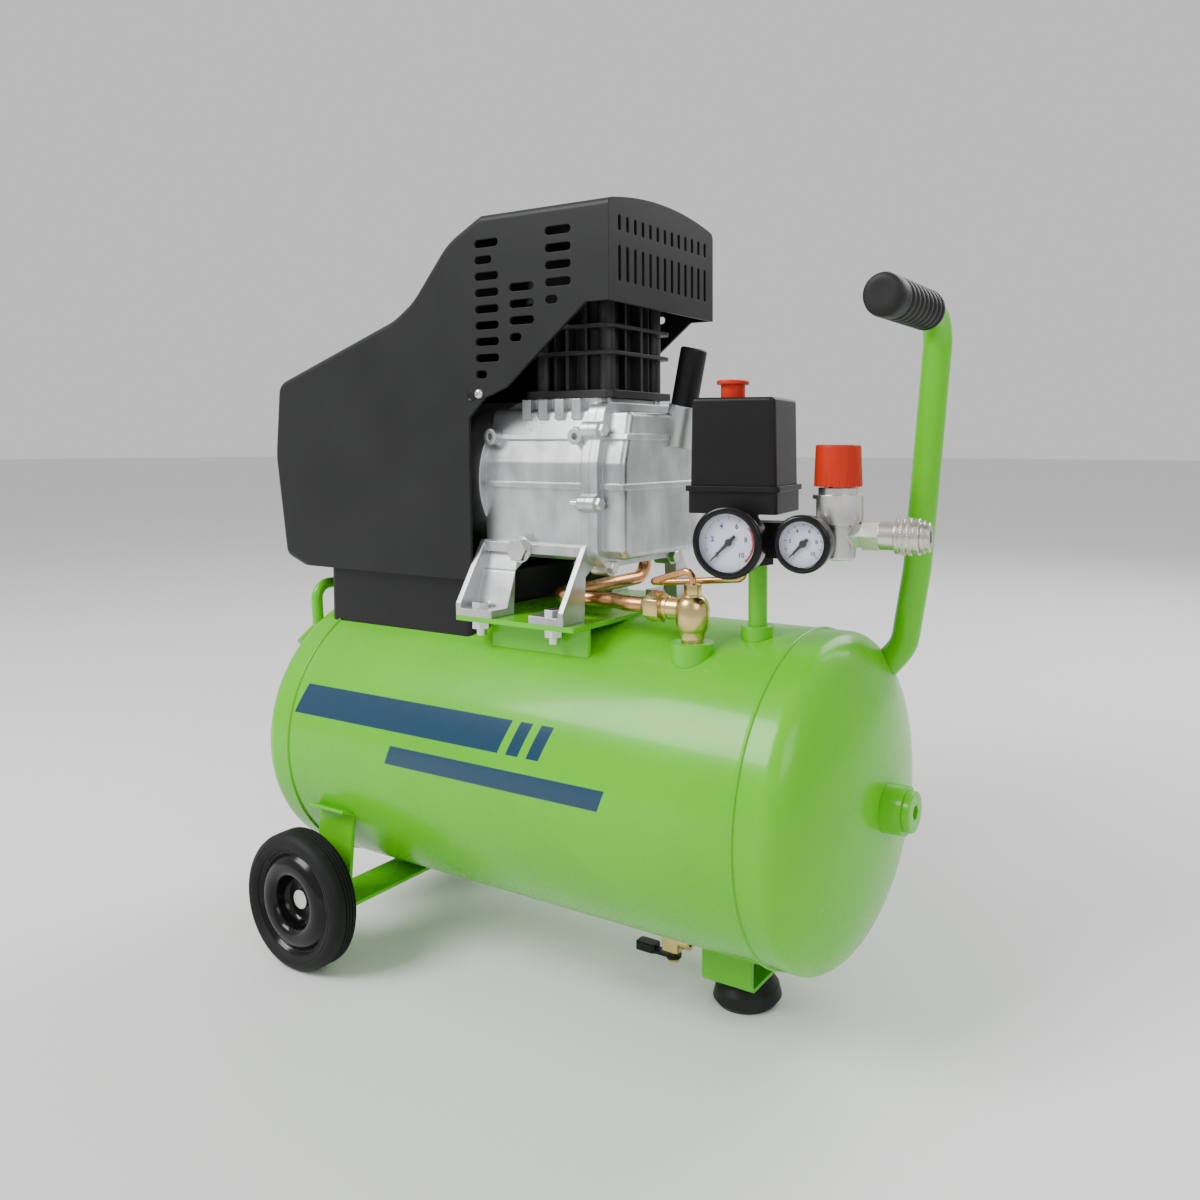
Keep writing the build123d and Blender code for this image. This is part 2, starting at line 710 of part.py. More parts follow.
with BuildPart() as crankcase_cover:
    with BuildSketch(Plane.YZ.offset(CASE_SEAM)):
        add(case_section(4.0))
        with Locations(*flange_bolt_spots):
            Circle(7.0)
    extrude(amount=CASE_FLANGE)
    with BuildSketch(Plane.YZ.offset(CASE_SEAM)):
        add(case_section(-3.0))
    extrude(amount=COVER_X1 - CASE_SEAM)
    fillet(crankcase_cover.faces().sort_by(Axis.X)[-1].edges(), 5.0)
    for ridge_z in RIDGE_LEVELS:
        with BuildSketch(Plane.YZ.offset(CASE_SEAM)):
            add(ridge_section(RIDGE_OUT - 3.0, ridge_z))
        extrude(amount=COVER_X1 + 1.5 - CASE_SEAM)
    with BuildSketch(BREATHER_PLANE):
        Circle(12.5)
    extrude(amount=-34.0)
    with BuildSketch(Plane.YZ.offset(CASE_SEAM)):
        add(case_section(-CASE_WALL))
    extrude(amount=COVER_X1 - CASE_SEAM - 5.0, mode=Mode.SUBTRACT)
    with BuildSketch(BREATHER_PLANE):
        Circle(BREATHER_BORE)
    extrude(amount=-20.0, mode=Mode.SUBTRACT)
    with BuildSketch(Plane.YZ.offset(CASE_SEAM)):
        with Locations(*flange_bolt_spots):
            Circle(2.6)
    extrude(amount=CASE_FLANGE, mode=Mode.SUBTRACT)
finish(crankcase_cover, "crankcase_cover")

with BuildPart() as casing_screws:
    for y, z in flange_bolt_spots:
        add(hex_bolt(facing_x(CASE_SEAM + CASE_FLANGE, y, z), 2.6, CASE_FLANGE + 18.0, 9.0, 4.0))
finish(casing_screws, "casing_screws")

with BuildPart() as oil_plug:
    with BuildSketch(facing_front(-17.0, -CASE_HALF - 6.0, 356.0)):
        Circle(6.0)
    extrude(amount=-18.0)
    with BuildSketch(facing_front(-17.0, -CASE_HALF - 6.0, 356.0)):
        Circle(10.5)
    extrude(amount=2.0)
    with BuildSketch(facing_front(-17.0, -CASE_HALF - 8.0, 356.0)):
        RegularPolygon(8.5, 6, major_radius=False)
    extrude(amount=6.0)
    chamfer(oil_plug.faces().sort_by(Axis.Y)[0].edges(), 0.8)
finish(oil_plug, "oil_plug")

with BuildPart() as breather:
    with BuildSketch(BREATHER_PLANE):
        Circle(BREATHER_BORE - 0.06)
    extrude(amount=-16.0)
    with BuildSketch(BREATHER_PLANE):
        Circle(11.0)
    extrude(amount=48.0)
    fillet(breather.faces().sort_by(Axis(BREATHER_SEAT, BREATHER_UP))[-1].edges(), 2.5)
finish(breather, "breather")

with BuildPart() as mounting_bolts:
    for x in FOOT_BOLT_XS:
        for side in (-1, 1):
            spot = (x, side * FOOT_BOLT_Y)
            add(hex_bolt(level(PAD_TOP, *spot), M8_R, PAD_TOP - SADDLE_TOP + 16.0, 13.0, 5.3))
            under = Plane(origin=(*spot, SADDLE_TOP - SADDLE_T), x_dir=(1, 0, 0), z_dir=(0, 0, -1))
            add(hex_nut(under, M8_R, 13.0, 6.5))
    add(hex_nut(level(FOOT_H + BRACKET_T, FOOT_X), M8_R, 13.0, 6.5))
    under_foot = Plane(origin=(FOOT_X, 0, 9.0), x_dir=(1, 0, 0), z_dir=(0, 0, -1))
    add(hex_bolt(under_foot, M8_R, FOOT_H + BRACKET_T + 1.0, 13.0, 5.3))
finish(mounting_bolts, "mounting_bolts")

# ---- cylinder and head --------------------------------------------------------------------------

FIN_LEVELS = (512.0, 533.0)
FIN_T = 3.0

with BuildPart() as cylinder:
    with BuildSketch(level(DECK_Z, CYL_X)):
        RectangleRounded(2 * FIN_HALF, 2 * FIN_HALF, 8.0)
    extrude(amount=6.0)
    with BuildSketch(level(DECK_Z - 12.0, CYL_X)):
        Circle(28.9)
    extrude(amount=13.0)
    with BuildSketch(level(DECK_Z, CYL_X)):
        Circle(32.0)
        with GridLocations(HEAD_BOLT_PITCH, HEAD_BOLT_PITCH, 2, 2):
            Circle(6.5)
        with PolarLocations(36.0, 4):
            Rectangle(14.0, 3.0)
        with PolarLocations(36.0, 4, start_angle=22.5):
            Rectangle(12.0, 2.0)
        with PolarLocations(36.0, 4, start_angle=67.5):
            Rectangle(12.0, 2.0)
        with PolarLocations(38.0, 4, start_angle=45):
            Rectangle(24.0, 4.0)
    extrude(amount=CYL_TOP - DECK_Z)
    for fin in FIN_LEVELS:
        with BuildSketch(level(fin, CYL_X)):
            RectangleRounded(2 * FIN_HALF, 2 * FIN_HALF, 12.0)
        extrude(amount=FIN_T)
    with BuildSketch(level(CYL_TOP - 7.0, CYL_X)):
        RectangleRounded(2 * FIN_HALF, 2 * FIN_HALF, 8.0)
    extrude(amount=7.0)
    with BuildSketch(level(DECK_Z - 12.0, CYL_X)):
        Circle(BORE_R)
    extrude(amount=CYL_TOP - DECK_Z + 12.0, mode=Mode.SUBTRACT)
    with BuildSketch(level(DECK_Z, CYL_X)):
        with GridLocations(HEAD_BOLT_PITCH, HEAD_BOLT_PITCH, 2, 2):
            Circle(3.4)
    extrude(amount=CYL_TOP - DECK_Z, mode=Mode.SUBTRACT)
finish(cylinder, "cylinder")

PLATE_T = 4.0
HEAD_LOW = CYL_TOP + PLATE_T
HEAD_BODY_TOP = 588.0

with BuildPart() as valve_plate:
    with BuildSketch(level(CYL_TOP, CYL_X)):
        RectangleRounded(2 * FIN_HALF - 2, 2 * FIN_HALF - 2, 8.0)
        with GridLocations(HEAD_BOLT_PITCH, HEAD_BOLT_PITCH, 2, 2):
            Circle(3.4, mode=Mode.SUBTRACT)
        with Locations((0, -12), (0, 12)):
            Circle(5.0, mode=Mode.SUBTRACT)
    extrude(amount=PLATE_T)
finish(valve_plate, "valve_plate")

OUTLET_Z = 576.0
OUTLET_X = 5.0
INLET_Y = -12.0

with BuildPart() as cylinder_head:
    with BuildSketch(level(HEAD_LOW, CYL_X)):
        RectangleRounded(2 * FIN_HALF - 2, 2 * FIN_HALF - 2, 8.0)
    extrude(amount=HEAD_BODY_TOP - HEAD_LOW)
    with BuildSketch(level(HEAD_BODY_TOP, CYL_X)):
        with GridLocations(10.0, 0, 5, 1):
            Rectangle(3.0, 84.0)
    extrude(amount=HEAD_TOP - HEAD_BODY_TOP)
    with BuildSketch(level(HEAD_LOW, CYL_X)):
        with Locations((0, -18), (0, 18)):
            RectangleRounded(52.0, 30.0, 8.0)
    extrude(amount=12.0, mode=Mode.SUBTRACT)
    with BuildSketch(level(HEAD_LOW, CYL_X)):
        with GridLocations(HEAD_BOLT_PITCH, HEAD_BOLT_PITCH, 2, 2):
            Circle(3.4)
    extrude(amount=HEAD_TOP, mode=Mode.SUBTRACT)
    with BuildSketch(facing_front(OUTLET_X, FIN_HALF - 20.0, OUTLET_Z)):
        Circle(DISCHARGE_R)
    extrude(amount=-30.0, mode=Mode.SUBTRACT)
    with BuildSketch(facing_x(CYL_X - FIN_HALF - 5.0, INLET_Y, OUTLET_Z)):
        Circle(8.0)
    extrude(amount=20.0, mode=Mode.SUBTRACT)
finish(cylinder_head, "cylinder_head")

with BuildPart() as head_bolts:
    for dx in (-HEAD_BOLT_PITCH / 2, HEAD_BOLT_PITCH / 2):
        for dy in (-HEAD_BOLT_PITCH / 2, HEAD_BOLT_PITCH / 2):
            spot = level(HEAD_BODY_TOP, CYL_X + dx, dy)
            add(hex_bolt(spot, 3.3, HEAD_BODY_TOP - DECK_Z + 14.0, 9.5, 5.0))
finish(head_bolts, "head_bolts")

with BuildPart() as intake_filter:
    with BuildSketch(facing_x(CYL_X - FIN_HALF + 1.0, INLET_Y, OUTLET_Z)):
        Circle(7.9)
    extrude(amount=8.0)
    with BuildSketch(facing_x(CYL_X - FIN_HALF + 1.0, INLET_Y, OUTLET_Z)):
        Circle(7.9)
    extrude(amount=-7.0)
    with BuildSketch(facing_x(CYL_X - FIN_HALF - 6.0, INLET_Y, OUTLET_Z)):
        Circle(23.0)
    extrude(amount=-26.0)
    fillet(intake_filter.faces().sort_by(Axis.X)[0].edges(), 3.0)
finish(intake_filter, "intake_filter")

# ---- piston and crank ---------------------------------------------------------------------------

CRANK_PIN_Z = CRANK_Z - STROKE / 2
PISTON_PIN_Z = CRANK_PIN_Z + ROD_LENGTH
CROWN_Z = PISTON_PIN_Z + 18.0
SKIRT_Z = PISTON_PIN_Z - 20.0
PISTON_PIN_R = 6.0
ROD_HALF = 7.0
RING_STEPS = (4.0, 9.0, 14.0)

with BuildPart() as piston:
    with BuildSketch(level(SKIRT_Z, CYL_X)):
        Circle(PISTON_R)
    extrude(amount=CROWN_Z - SKIRT_Z)
    with BuildSketch(level(SKIRT_Z, CYL_X)):
        Circle(PISTON_R - 4.0)
    extrude(amount=CROWN_Z - SKIRT_Z - 17.0, mode=Mode.SUBTRACT)
    with BuildSketch(facing_x(CYL_X - PISTON_R + 3.2, 0, PISTON_PIN_Z)):
        Circle(PISTON_PIN_R + 4.0)
    extrude(amount=2 * PISTON_R - 6.4)
    with BuildSketch(facing_x(CYL_X - ROD_HALF - 1.0, 0, PISTON_PIN_Z)):
        Circle(PISTON_PIN_R + 5.0)
        with Locations((0, -20.0)):
            Rectangle(2 * PISTON_PIN_R + 10.0, 40.0)
    extrude(amount=2 * ROD_HALF + 2.0, mode=Mode.SUBTRACT)
    with BuildSketch(facing_x(CYL_X - PISTON_R - 1.0, 0, PISTON_PIN_Z)):
        Circle(PISTON_PIN_R)
    extrude(amount=2 * PISTON_R + 2.0, mode=Mode.SUBTRACT)
    for step in RING_STEPS:
        with BuildSketch(level(CROWN_Z - step, CYL_X)):
            Circle(PISTON_R + 1.0)
            Circle(PISTON_R - 2.0, mode=Mode.SUBTRACT)
        extrude(amount=2.0, mode=Mode.SUBTRACT)
finish(piston, "piston")

with BuildPart() as piston_rings:
    for step in RING_STEPS:
        with BuildSketch(level(CROWN_Z - step, CYL_X)):
            Circle(PISTON_R + 0.02)
            Circle(PISTON_R - 2.0, mode=Mode.SUBTRACT)
        extrude(amount=2.0)
finish(piston_rings, "piston_rings")

with BuildPart() as piston_pin:
    with BuildSketch(facing_x(CYL_X - PISTON_R + 4.0, 0, PISTON_PIN_Z)):
        Circle(PISTON_PIN_R)
        Circle(3.0, mode=Mode.SUBTRACT)
    extrude(amount=2 * PISTON_R - 8.0)
finish(piston_pin, "piston_pin")

BIG_EYE_R = 15.0
CRANK_PIN_R = 9.0

with BuildPart() as connecting_rod:
    with BuildSketch(facing_x(CYL_X - ROD_HALF, 0, 0)):
        with Locations((0, CRANK_PIN_Z)):
            Circle(BIG_EYE_R)
        with Locations((0, PISTON_PIN_Z)):
            Circle(PISTON_PIN_R + 3.5)
        with Locations((0, (CRANK_PIN_Z + PISTON_PIN_Z) / 2)):
            Rectangle(12.0, ROD_LENGTH - 10.0)
        with Locations((0, CRANK_PIN_Z)):
            Circle(CRANK_PIN_R + 0.05, mode=Mode.SUBTRACT)
        with Locations((0, PISTON_PIN_Z)):
            Circle(PISTON_PIN_R, mode=Mode.SUBTRACT)
    extrude(amount=2 * ROD_HALF)
finish(connecting_rod, "connecting_rod")

SHAFT_X0 = FAN_X - 4.0
WEB_X1 = CYL_X - ROD_HALF - 1.5
WEB_X0 = WEB_X1 - 12.0

with BuildPart() as crankshaft:
    with BuildSketch(facing_x(SHAFT_X0, 0, CRANK_Z)):
        Circle(SHAFT_R)
    extrude(amount=WEB_X0 - SHAFT_X0)
    with BuildSketch(facing_x(CASE_X0 + 8.0, 0, CRANK_Z)):
        Circle(SHAFT_R + 3.0)
    extrude(amount=WEB_X0 - CASE_X0 - 8.0)
    with BuildSketch(facing_x(WEB_X0, 0, CRANK_Z)):
        with Locations((0, -STROKE / 2)):
            Circle(BIG_EYE_R - 1.0)
        with Locations((0, -STROKE / 4)):
            Rectangle(24.0, STROKE / 2)
        with Locations((0, 8.0)):
            Rectangle(60.0, 32.0)
    extrude(amount=WEB_X1 - WEB_X0)
    with BuildSketch(facing_x(WEB_X1, 0, CRANK_PIN_Z)):
        Circle(CRANK_PIN_R)
    extrude(amount=1.0)
finish(crankshaft, "crankshaft")

with BuildPart() as bearings:
    for x in (CASE_X0 - 4.0, STATOR_X0 - 22.0):
        with BuildSketch(facing_x(x, 0, CRANK_Z)):
            Circle(BEARING_R)
            Circle(SHAFT_R + 0.05, mode=Mode.SUBTRACT)
        extrude(amount=BEARING_W)
finish(bearings, "bearings")

with BuildPart() as rotor:
    with BuildSketch(facing_x(STATOR_X0 + 8.0, 0, CRANK_Z)):
        Circle(ROTOR_R)
        Circle(SHAFT_R, mode=Mode.SUBTRACT)
    extrude(amount=STATOR_X1 - STATOR_X0 - 16.0)
finish(rotor, "rotor")

with BuildPart() as stator:
    with BuildSketch(facing_x(STATOR_X0 + 14.0, 0, CRANK_Z)):
        Circle(STATOR_R)
        Circle(ROTOR_R + 0.5, mode=Mode.SUBTRACT)
    extrude(amount=STATOR_X1 - STATOR_X0 - 28.0)
    for x, reach in ((STATOR_X0 + 14.0, -14.0), (STATOR_X1 - 14.0, 14.0)):
        with BuildSketch(facing_x(x, 0, CRANK_Z)):
            Circle(STATOR_R - 7.0)
            Circle(ROTOR_R + 4.0, mode=Mode.SUBTRACT)
        extrude(amount=reach)
finish(stator, "stator")

with BuildPart() as motor_end_cap:
    with BuildSketch(facing_x(STATOR_X0 - 22.0, 0, CRANK_Z)):
        Circle(STATOR_R + MOTOR_SHELL)
    extrude(amount=END_CAP_X1 - STATOR_X0 + 22.0)
    with BuildSketch(facing_x(STATOR_X0 - 14.0, 0, CRANK_Z)):
        Circle(STATOR_R)
    extrude(amount=END_CAP_X1 - STATOR_X0 + 14.0, mode=Mode.SUBTRACT)
    with BuildSketch(facing_x(STATOR_X0 - 22.0, 0, CRANK_Z)):
        Circle(BEARING_R + 5.0)
    extrude(amount=BEARING_W)
    with BuildSketch(facing_x(STATOR_X0 - 22.0, 0, CRANK_Z)):
        Circle(BEARING_R)
        with PolarLocations(42.0, 8):
            SlotOverall(22.0, 9.0, rotation=90)
    extrude(amount=BEARING_W, mode=Mode.SUBTRACT)
finish(motor_end_cap, "motor_end_cap")

FAN_BLADES = 8

with BuildPart() as cooling_fan:
    with BuildSketch(facing_x(FAN_X - 10.0, 0, CRANK_Z)):
        Circle(18.0)
        Circle(SHAFT_R, mode=Mode.SUBTRACT)
    extrude(amount=20.0)
    with BuildSketch(facing_x(FAN_X - 8.0, 0, CRANK_Z)):
        Circle(FAN_R - 2.0)
        Circle(17.0, mode=Mode.SUBTRACT)
    extrude(amount=2.0)
    with BuildSketch(facing_x(FAN_X - 6.0, 0, CRANK_Z)):
        with PolarLocations((FAN_R + 16.0) / 2, FAN_BLADES):
            Rectangle(FAN_R - 18.0, 2.5)
    extrude(amount=14.0)
finish(cooling_fan, "cooling_fan")

# ---- hood and air duct --------------------------------------------------------------------------

HOOD_RIM = 6.0
hood_outline = [
    (-276.0, HOOD_BOTTOM),
    (-298.0, 337.0),
    (-311.0, 430.0),
    (-304.0, 497.0),
    (-150.0, 547.0),
    (-127.0, 561.0),
    (-86.0, 606.0),
    (-52.0, 623.0),
    (-14.0, HOOD_CROWN + 6.0),
    (HOOD_X1, HOOD_CROWN + 6.0),
]
hood_corner_radii = [10.0, 60.0, 14.0, 60.0, 60.0, 60.0, 100.0, 60.0]
notch = [
    (HOOD_X1 + 30.0, HOOD_BOTTOM - 60.0),
    (HOOD_SIDE_X, HOOD_BOTTOM - 60.0),
    (HOOD_SIDE_X, 462.0),
    (-45.0, 478.0),
    (-22.0, 486.0),
    (58.0, HOOD_SIDE_BOTTOM),
    (HOOD_X1 + 30.0, HOOD_SIDE_BOTTOM),
]


def hood_block(inset):
    """Hood as a solid block, smaller all round by inset, with rounded rims and an arched crown."""
    half = HOOD_Y - inset
    rim = HOOD_RIM - inset
    with BuildPart() as block:
        with BuildSketch(Plane.XZ.offset(-half)):
            with BuildLine():
                route = FilletPolyline(*hood_outline, radius=hood_corner_radii)
                Polyline(route @ 1, (HOOD_X1, HOOD_BOTTOM), route @ 0)
            make_face()
            if inset:
                offset(amount=-inset, kind=Kind.INTERSECTION)
        extrude(amount=2 * half)
        for end in (0, -1):
            rim_edges = block.faces().filter_by(Axis.Y).sort_by(Axis.Y)[end].edges()
            low = HOOD_BOTTOM + inset + 1.0
            right = HOOD_X1 - inset - 1.0
            fillet([edge for edge in rim_edges if edge.center().Z > low and edge.center().X < right], rim)
        with BuildSketch(Plane.YZ.offset(-2 * SEAM_HALF)) as crown:
            with BuildLine():
                arch = ThreePointArc(
                    (-half, HOOD_EDGE_Z - inset),
                    (0, HOOD_CROWN - inset),
                    (half, HOOD_EDGE_Z - inset),
                )
                Polyline(arch @ 1, (half, HOOD_BOTTOM - 10.0), (-half, HOOD_BOTTOM - 10.0), arch @ 0)
            make_face()
            fillet(crown.vertices().group_by(Axis.Z)[-1], rim)
        extrude(amount=4 * SEAM_HALF, mode=Mode.INTERSECT)
    return block.part


VENT_PITCH = 13.0
VENT_T = 6.5
VENT_L = 25.0
vent_columns = [(-41.0, 601.0, 9), (-4.5, 564.0, 4), (32.0, 604.0, 5)]
SIDE_VENTS = 13
SIDE_VENT_PITCH = 10.2

with BuildPart() as hood:
    add(hood_block(0.0))
    add(hood_block(HOOD_T), mode=Mode.SUBTRACT)
    with BuildSketch(Plane.XZ.offset(-HOOD_Y - 10.0)):
        with BuildLine():
            Polyline(*notch, close=True)
        make_face()
    extrude(amount=2 * HOOD_Y + 20.0, mode=Mode.SUBTRACT)
    with BuildSketch(level(HOOD_BOTTOM - 1.0, (DUCT_X0 + DUCT_X1) / 2 + 20.0)):
        Rectangle(DUCT_X1 - DUCT_X0 + 40.0, 2 * DUCT_Y)
    extrude(amount=2 * HOOD_T, mode=Mode.SUBTRACT)
    for column_x, top_z, count in vent_columns:
        with BuildSketch(Plane.XZ.offset(-HOOD_Y - 10.0)):
            for row in range(count):
                short = row in (1, count - 1) if count > 5 else row == count - 1
                length = 12.0 if row == count - 1 else (18.0 if short else VENT_L)
                with Locations((column_x - (VENT_L - length) / 2, top_z - row * VENT_PITCH)):
                    SlotOverall(length, VENT_T)
        extrude(amount=2 * HOOD_Y + 20.0, mode=Mode.SUBTRACT)
    for row_z, height in ((607.0, 12.0), (577.0, 27.0)):
        with BuildSketch(facing_x(HOOD_X1 - 10.0, 0, row_z)):
            with GridLocations(SIDE_VENT_PITCH, 0, SIDE_VENTS, 1):
                SlotOverall(height, 3.6, rotation=90)
        extrude(amount=20.0, mode=Mode.SUBTRACT)
    with BuildSketch(facing_x(-SEAM_HALF - 120.0, 0, CRANK_Z)):
        for ring_r, ring_count in ((18.0, 6), (34.0, 12), (50.0, 18)):
            with PolarLocations(ring_r, ring_count):
                SlotOverall(11.0, 5.0)
    extrude(amount=80.0, mode=Mode.SUBTRACT)
    with BuildSketch(Plane.XZ.offset(-HOOD_Y - 10.0)):
        with Locations((-51.0, 484.0)):
            Circle(2.6)
    extrude(amount=2 * HOOD_Y + 20.0, mode=Mode.SUBTRACT)
finish(hood, "hood")

with BuildPart() as air_duct:
    with BuildSketch(level(TANK_Z + TANK_R - 60.0, (DUCT_X0 + DUCT_X1) / 2)):
        RectangleRounded(DUCT_X1 - DUCT_X0, 2 * DUCT_Y, 8.0)
        RectangleRounded(DUCT_X1 - DUCT_X0 - 2 * HOOD_T, 2 * (DUCT_Y - HOOD_T), 6.0, mode=Mode.SUBTRACT)
    extrude(amount=HOOD_BOTTOM + HOOD_T - (TANK_Z + TANK_R - 60.0))
    add(ENVELOPE, mode=Mode.SUBTRACT)
finish(air_duct, "air_duct")

# ---- air control unit ---------------------------------------------------------------------------

TURN = radians(UNIT_TURN)
UNIT_RIGHT = Vector(cos(TURN), sin(TURN), 0)
UNIT_BACK = Vector(-sin(TURN), cos(TURN), 0)


def unit_point(x, y, z):
    """Point of the control unit: x to its right, y to its back, z up."""
    return Vector(UNIT_X, UNIT_Y, z) + UNIT_RIGHT * x + UNIT_BACK * y


def unit_level(z, x=0.0, y=0.0):
    """Horizontal plane of the control unit."""
    return Plane(origin=unit_point(x, y, z), x_dir=UNIT_RIGHT, z_dir=(0, 0, 1))


def unit_front(x, y, z):
    """Plane that faces the control unit's front."""
    return Plane(origin=unit_point(x, y, z), x_dir=UNIT_RIGHT, z_dir=-UNIT_BACK)


def unit_side(x, y, z):
    """Plane that faces the control unit's right."""
    return Plane(origin=unit_point(x, y, z), x_dir=UNIT_BACK, z_dir=UNIT_RIGHT)


RISER_TOP = 352.0
MANIFOLD_LOW = 358.0

with BuildPart() as riser_pipe:
    with BuildSketch(unit_level(surface_z(UNIT_Y) - 1.0)):
        Circle(RISER_R)
        Circle(RISER_R - 2.2, mode=Mode.SUBTRACT)
    extrude(amount=RISER_TOP - surface_z(UNIT_Y) + 1.0)
    add(ENVELOPE, mode=Mode.SUBTRACT)
finish(riser_pipe, "riser_pipe")

BIG_GAUGE = (-7.0, -50.0, 26.0, 23.2)
SMALL_GAUGE = (45.0, -42.0, 20.5, 18.0)
MANIFOLD_HALF = 12.0

with BuildPart() as manifold:
    with BuildSketch(unit_level(RISER_TOP)):
        RegularPolygon(10.5, 6, major_radius=False)
    extrude(amount=MANIFOLD_LOW - RISER_TOP)
    with BuildSketch(unit_level(MANIFOLD_LOW, 12.0)):
        RectangleRounded(64.0, 2 * MANIFOLD_HALF, 5.0)
    extrude(amount=26.0)
    with BuildSketch(unit_level(MANIFOLD_LOW, -11.0)):
        Circle(11.0)
    extrude(amount=MANIFOLD_TOP - MANIFOLD_LOW)
    for gauge_x, face_y, outer_r, _ in (BIG_GAUGE, SMALL_GAUGE):
        with BuildSketch(unit_front(gauge_x if gauge_x < 0 else 36.0, 0, GAUGE_Z)):
            Circle(8.0)
        extrude(amount=MANIFOLD_HALF + 4.0)
    with BuildSketch(unit_side(40.0, 0, MANIFOLD_Z)):
        Circle(8.5)
    extrude(amount=8.0)
    with BuildSketch(unit_level(RISER_TOP, -11.0)):
        Circle(4.5)
    extrude(amount=MANIFOLD_LOW - RISER_TOP)
    with BuildSketch(unit_front(-11.0, -MANIFOLD_HALF, 371.0)):
        Circle(5.0)
    extrude(amount=-MANIFOLD_HALF, mode=Mode.SUBTRACT)
    with BuildSketch(unit_level(RISER_TOP)):
        Circle(5.0)
    extrude(amount=MANIFOLD_Z - RISER_TOP, mode=Mode.SUBTRACT)
finish(manifold, "manifold")

SWITCH_X = -11.0
SWITCH_Y = 2.0
SWITCH_W = 66.0
SWITCH_D = 60.0
GLAND_Z = 398.0
KNOB_X = -17.0
KNOB_Y = -8.0

with BuildPart() as switch_base:
    with BuildSketch(unit_level(SWITCH_Z0, SWITCH_X, SWITCH_Y)):
        RectangleRounded(SWITCH_W + 2.0, SWITCH_D + 2.0, 4.0)
    extrude(amount=SWITCH_SPLIT - SWITCH_Z0)
    with BuildSketch(unit_level(SWITCH_SPLIT - 4.0, SWITCH_X, SWITCH_Y)):
        RectangleRounded(SWITCH_W + 6.0, SWITCH_D + 6.0, 5.0)
    extrude(amount=4.0)
    with BuildSketch(unit_level(SWITCH_SPLIT, SWITCH_X, SWITCH_Y + 6.0)):
        Rectangle(44.0, 34.0)
    extrude(amount=36.0)
    with BuildSketch(unit_front(SWITCH_X, SWITCH_Y + SWITCH_D / 2 - 14.0, GLAND_Z)):
        Circle(7.0)
    extrude(amount=-30.0, mode=Mode.SUBTRACT)
finish(switch_base, "switch_base")

with BuildPart() as switch_cover:
    with BuildSketch(unit_level(SWITCH_SPLIT, SWITCH_X, SWITCH_Y)):
        RectangleRounded(SWITCH_W, SWITCH_D, 5.0)
    extrude(amount=SWITCH_TOP - SWITCH_SPLIT, taper=1.0)
    fillet(switch_cover.faces().sort_by(Axis.Z)[-1].edges(), 3.0)
    with BuildSketch(unit_level(SWITCH_SPLIT, SWITCH_X, SWITCH_Y)):
        RectangleRounded(SWITCH_W - 5.0, SWITCH_D - 5.0, 3.0)
    extrude(amount=SWITCH_TOP - SWITCH_SPLIT - 2.5, taper=1.0, mode=Mode.SUBTRACT)
    with BuildSketch(unit_level(SWITCH_TOP - 5.0, KNOB_X, KNOB_Y)):
        Circle(9.5)
    extrude(amount=10.0, mode=Mode.SUBTRACT)
finish(switch_cover, "switch_cover")

KNOB_RISE = 12.0

with BuildPart() as switch_knob:
    with BuildSketch(unit_level(SWITCH_TOP - 12.0, KNOB_X, KNOB_Y)):
        Circle(9.0)
    extrude(amount=KNOB_RISE + 10.0)
    with BuildSketch(unit_level(SWITCH_TOP + KNOB_RISE - 2.0, KNOB_X, KNOB_Y)):
        Circle(12.0)
    extrude(amount=3.0)
    fillet(switch_knob.faces().sort_by(Axis.Z)[-1].edges(), 1.2)
finish(switch_knob, "switch_knob")

with BuildPart() as cable_gland:
    gland_y = SWITCH_Y + SWITCH_D / 2 + 1.0
    with BuildSketch(unit_front(SWITCH_X, gland_y - 10.0, GLAND_Z)):
        Circle(7.0)
        Circle(4.0, mode=Mode.SUBTRACT)
    extrude(amount=-10.0)
    with BuildSketch(unit_front(SWITCH_X, gland_y, GLAND_Z)):
        RegularPolygon(7.5, 6, major_radius=False)
        Circle(4.0, mode=Mode.SUBTRACT)
    extrude(amount=-6.0)
    with BuildSketch(unit_front(SWITCH_X, gland_y + 6.0, GLAND_Z)):
        Circle(8.5)
        Circle(4.0, mode=Mode.SUBTRACT)
    extrude(amount=-10.0)
finish(cable_gland, "cable_gland")

CASE_DEPTH = 20.0
DIAL_SINK = 7.0

with BuildPart() as gauge_cases:
    for gauge_x, face_y, outer_r, inner_r in (BIG_GAUGE, SMALL_GAUGE):
        back_y = face_y + CASE_DEPTH
        with BuildSketch(unit_front(gauge_x, back_y, GAUGE_Z)):
            Circle(outer_r)
        extrude(amount=CASE_DEPTH)
        with BuildSketch(unit_front(gauge_x, face_y, GAUGE_Z)):
            Circle(inner_r)
        extrude(amount=-DIAL_SINK, mode=Mode.SUBTRACT)
        stem_x = gauge_x if gauge_x < 0 else 36.0
        with BuildSketch(unit_front(stem_x, -MANIFOLD_HALF - 4.0, GAUGE_Z)):
            RegularPolygon(6.0, 6, major_radius=False)
        extrude(amount=back_y * -1 - MANIFOLD_HALF - 4.0)
finish(gauge_cases, "gauge_cases")

with BuildPart() as gauge_dials:
    for gauge_x, face_y, outer_r, inner_r in (BIG_GAUGE, SMALL_GAUGE):
        with BuildSketch(unit_front(gauge_x, face_y + DIAL_SINK, GAUGE_Z)):
            Circle(inner_r)
            Circle(1.0, mode=Mode.SUBTRACT)
        extrude(amount=1.0)
finish(gauge_dials, "gauge_dials")

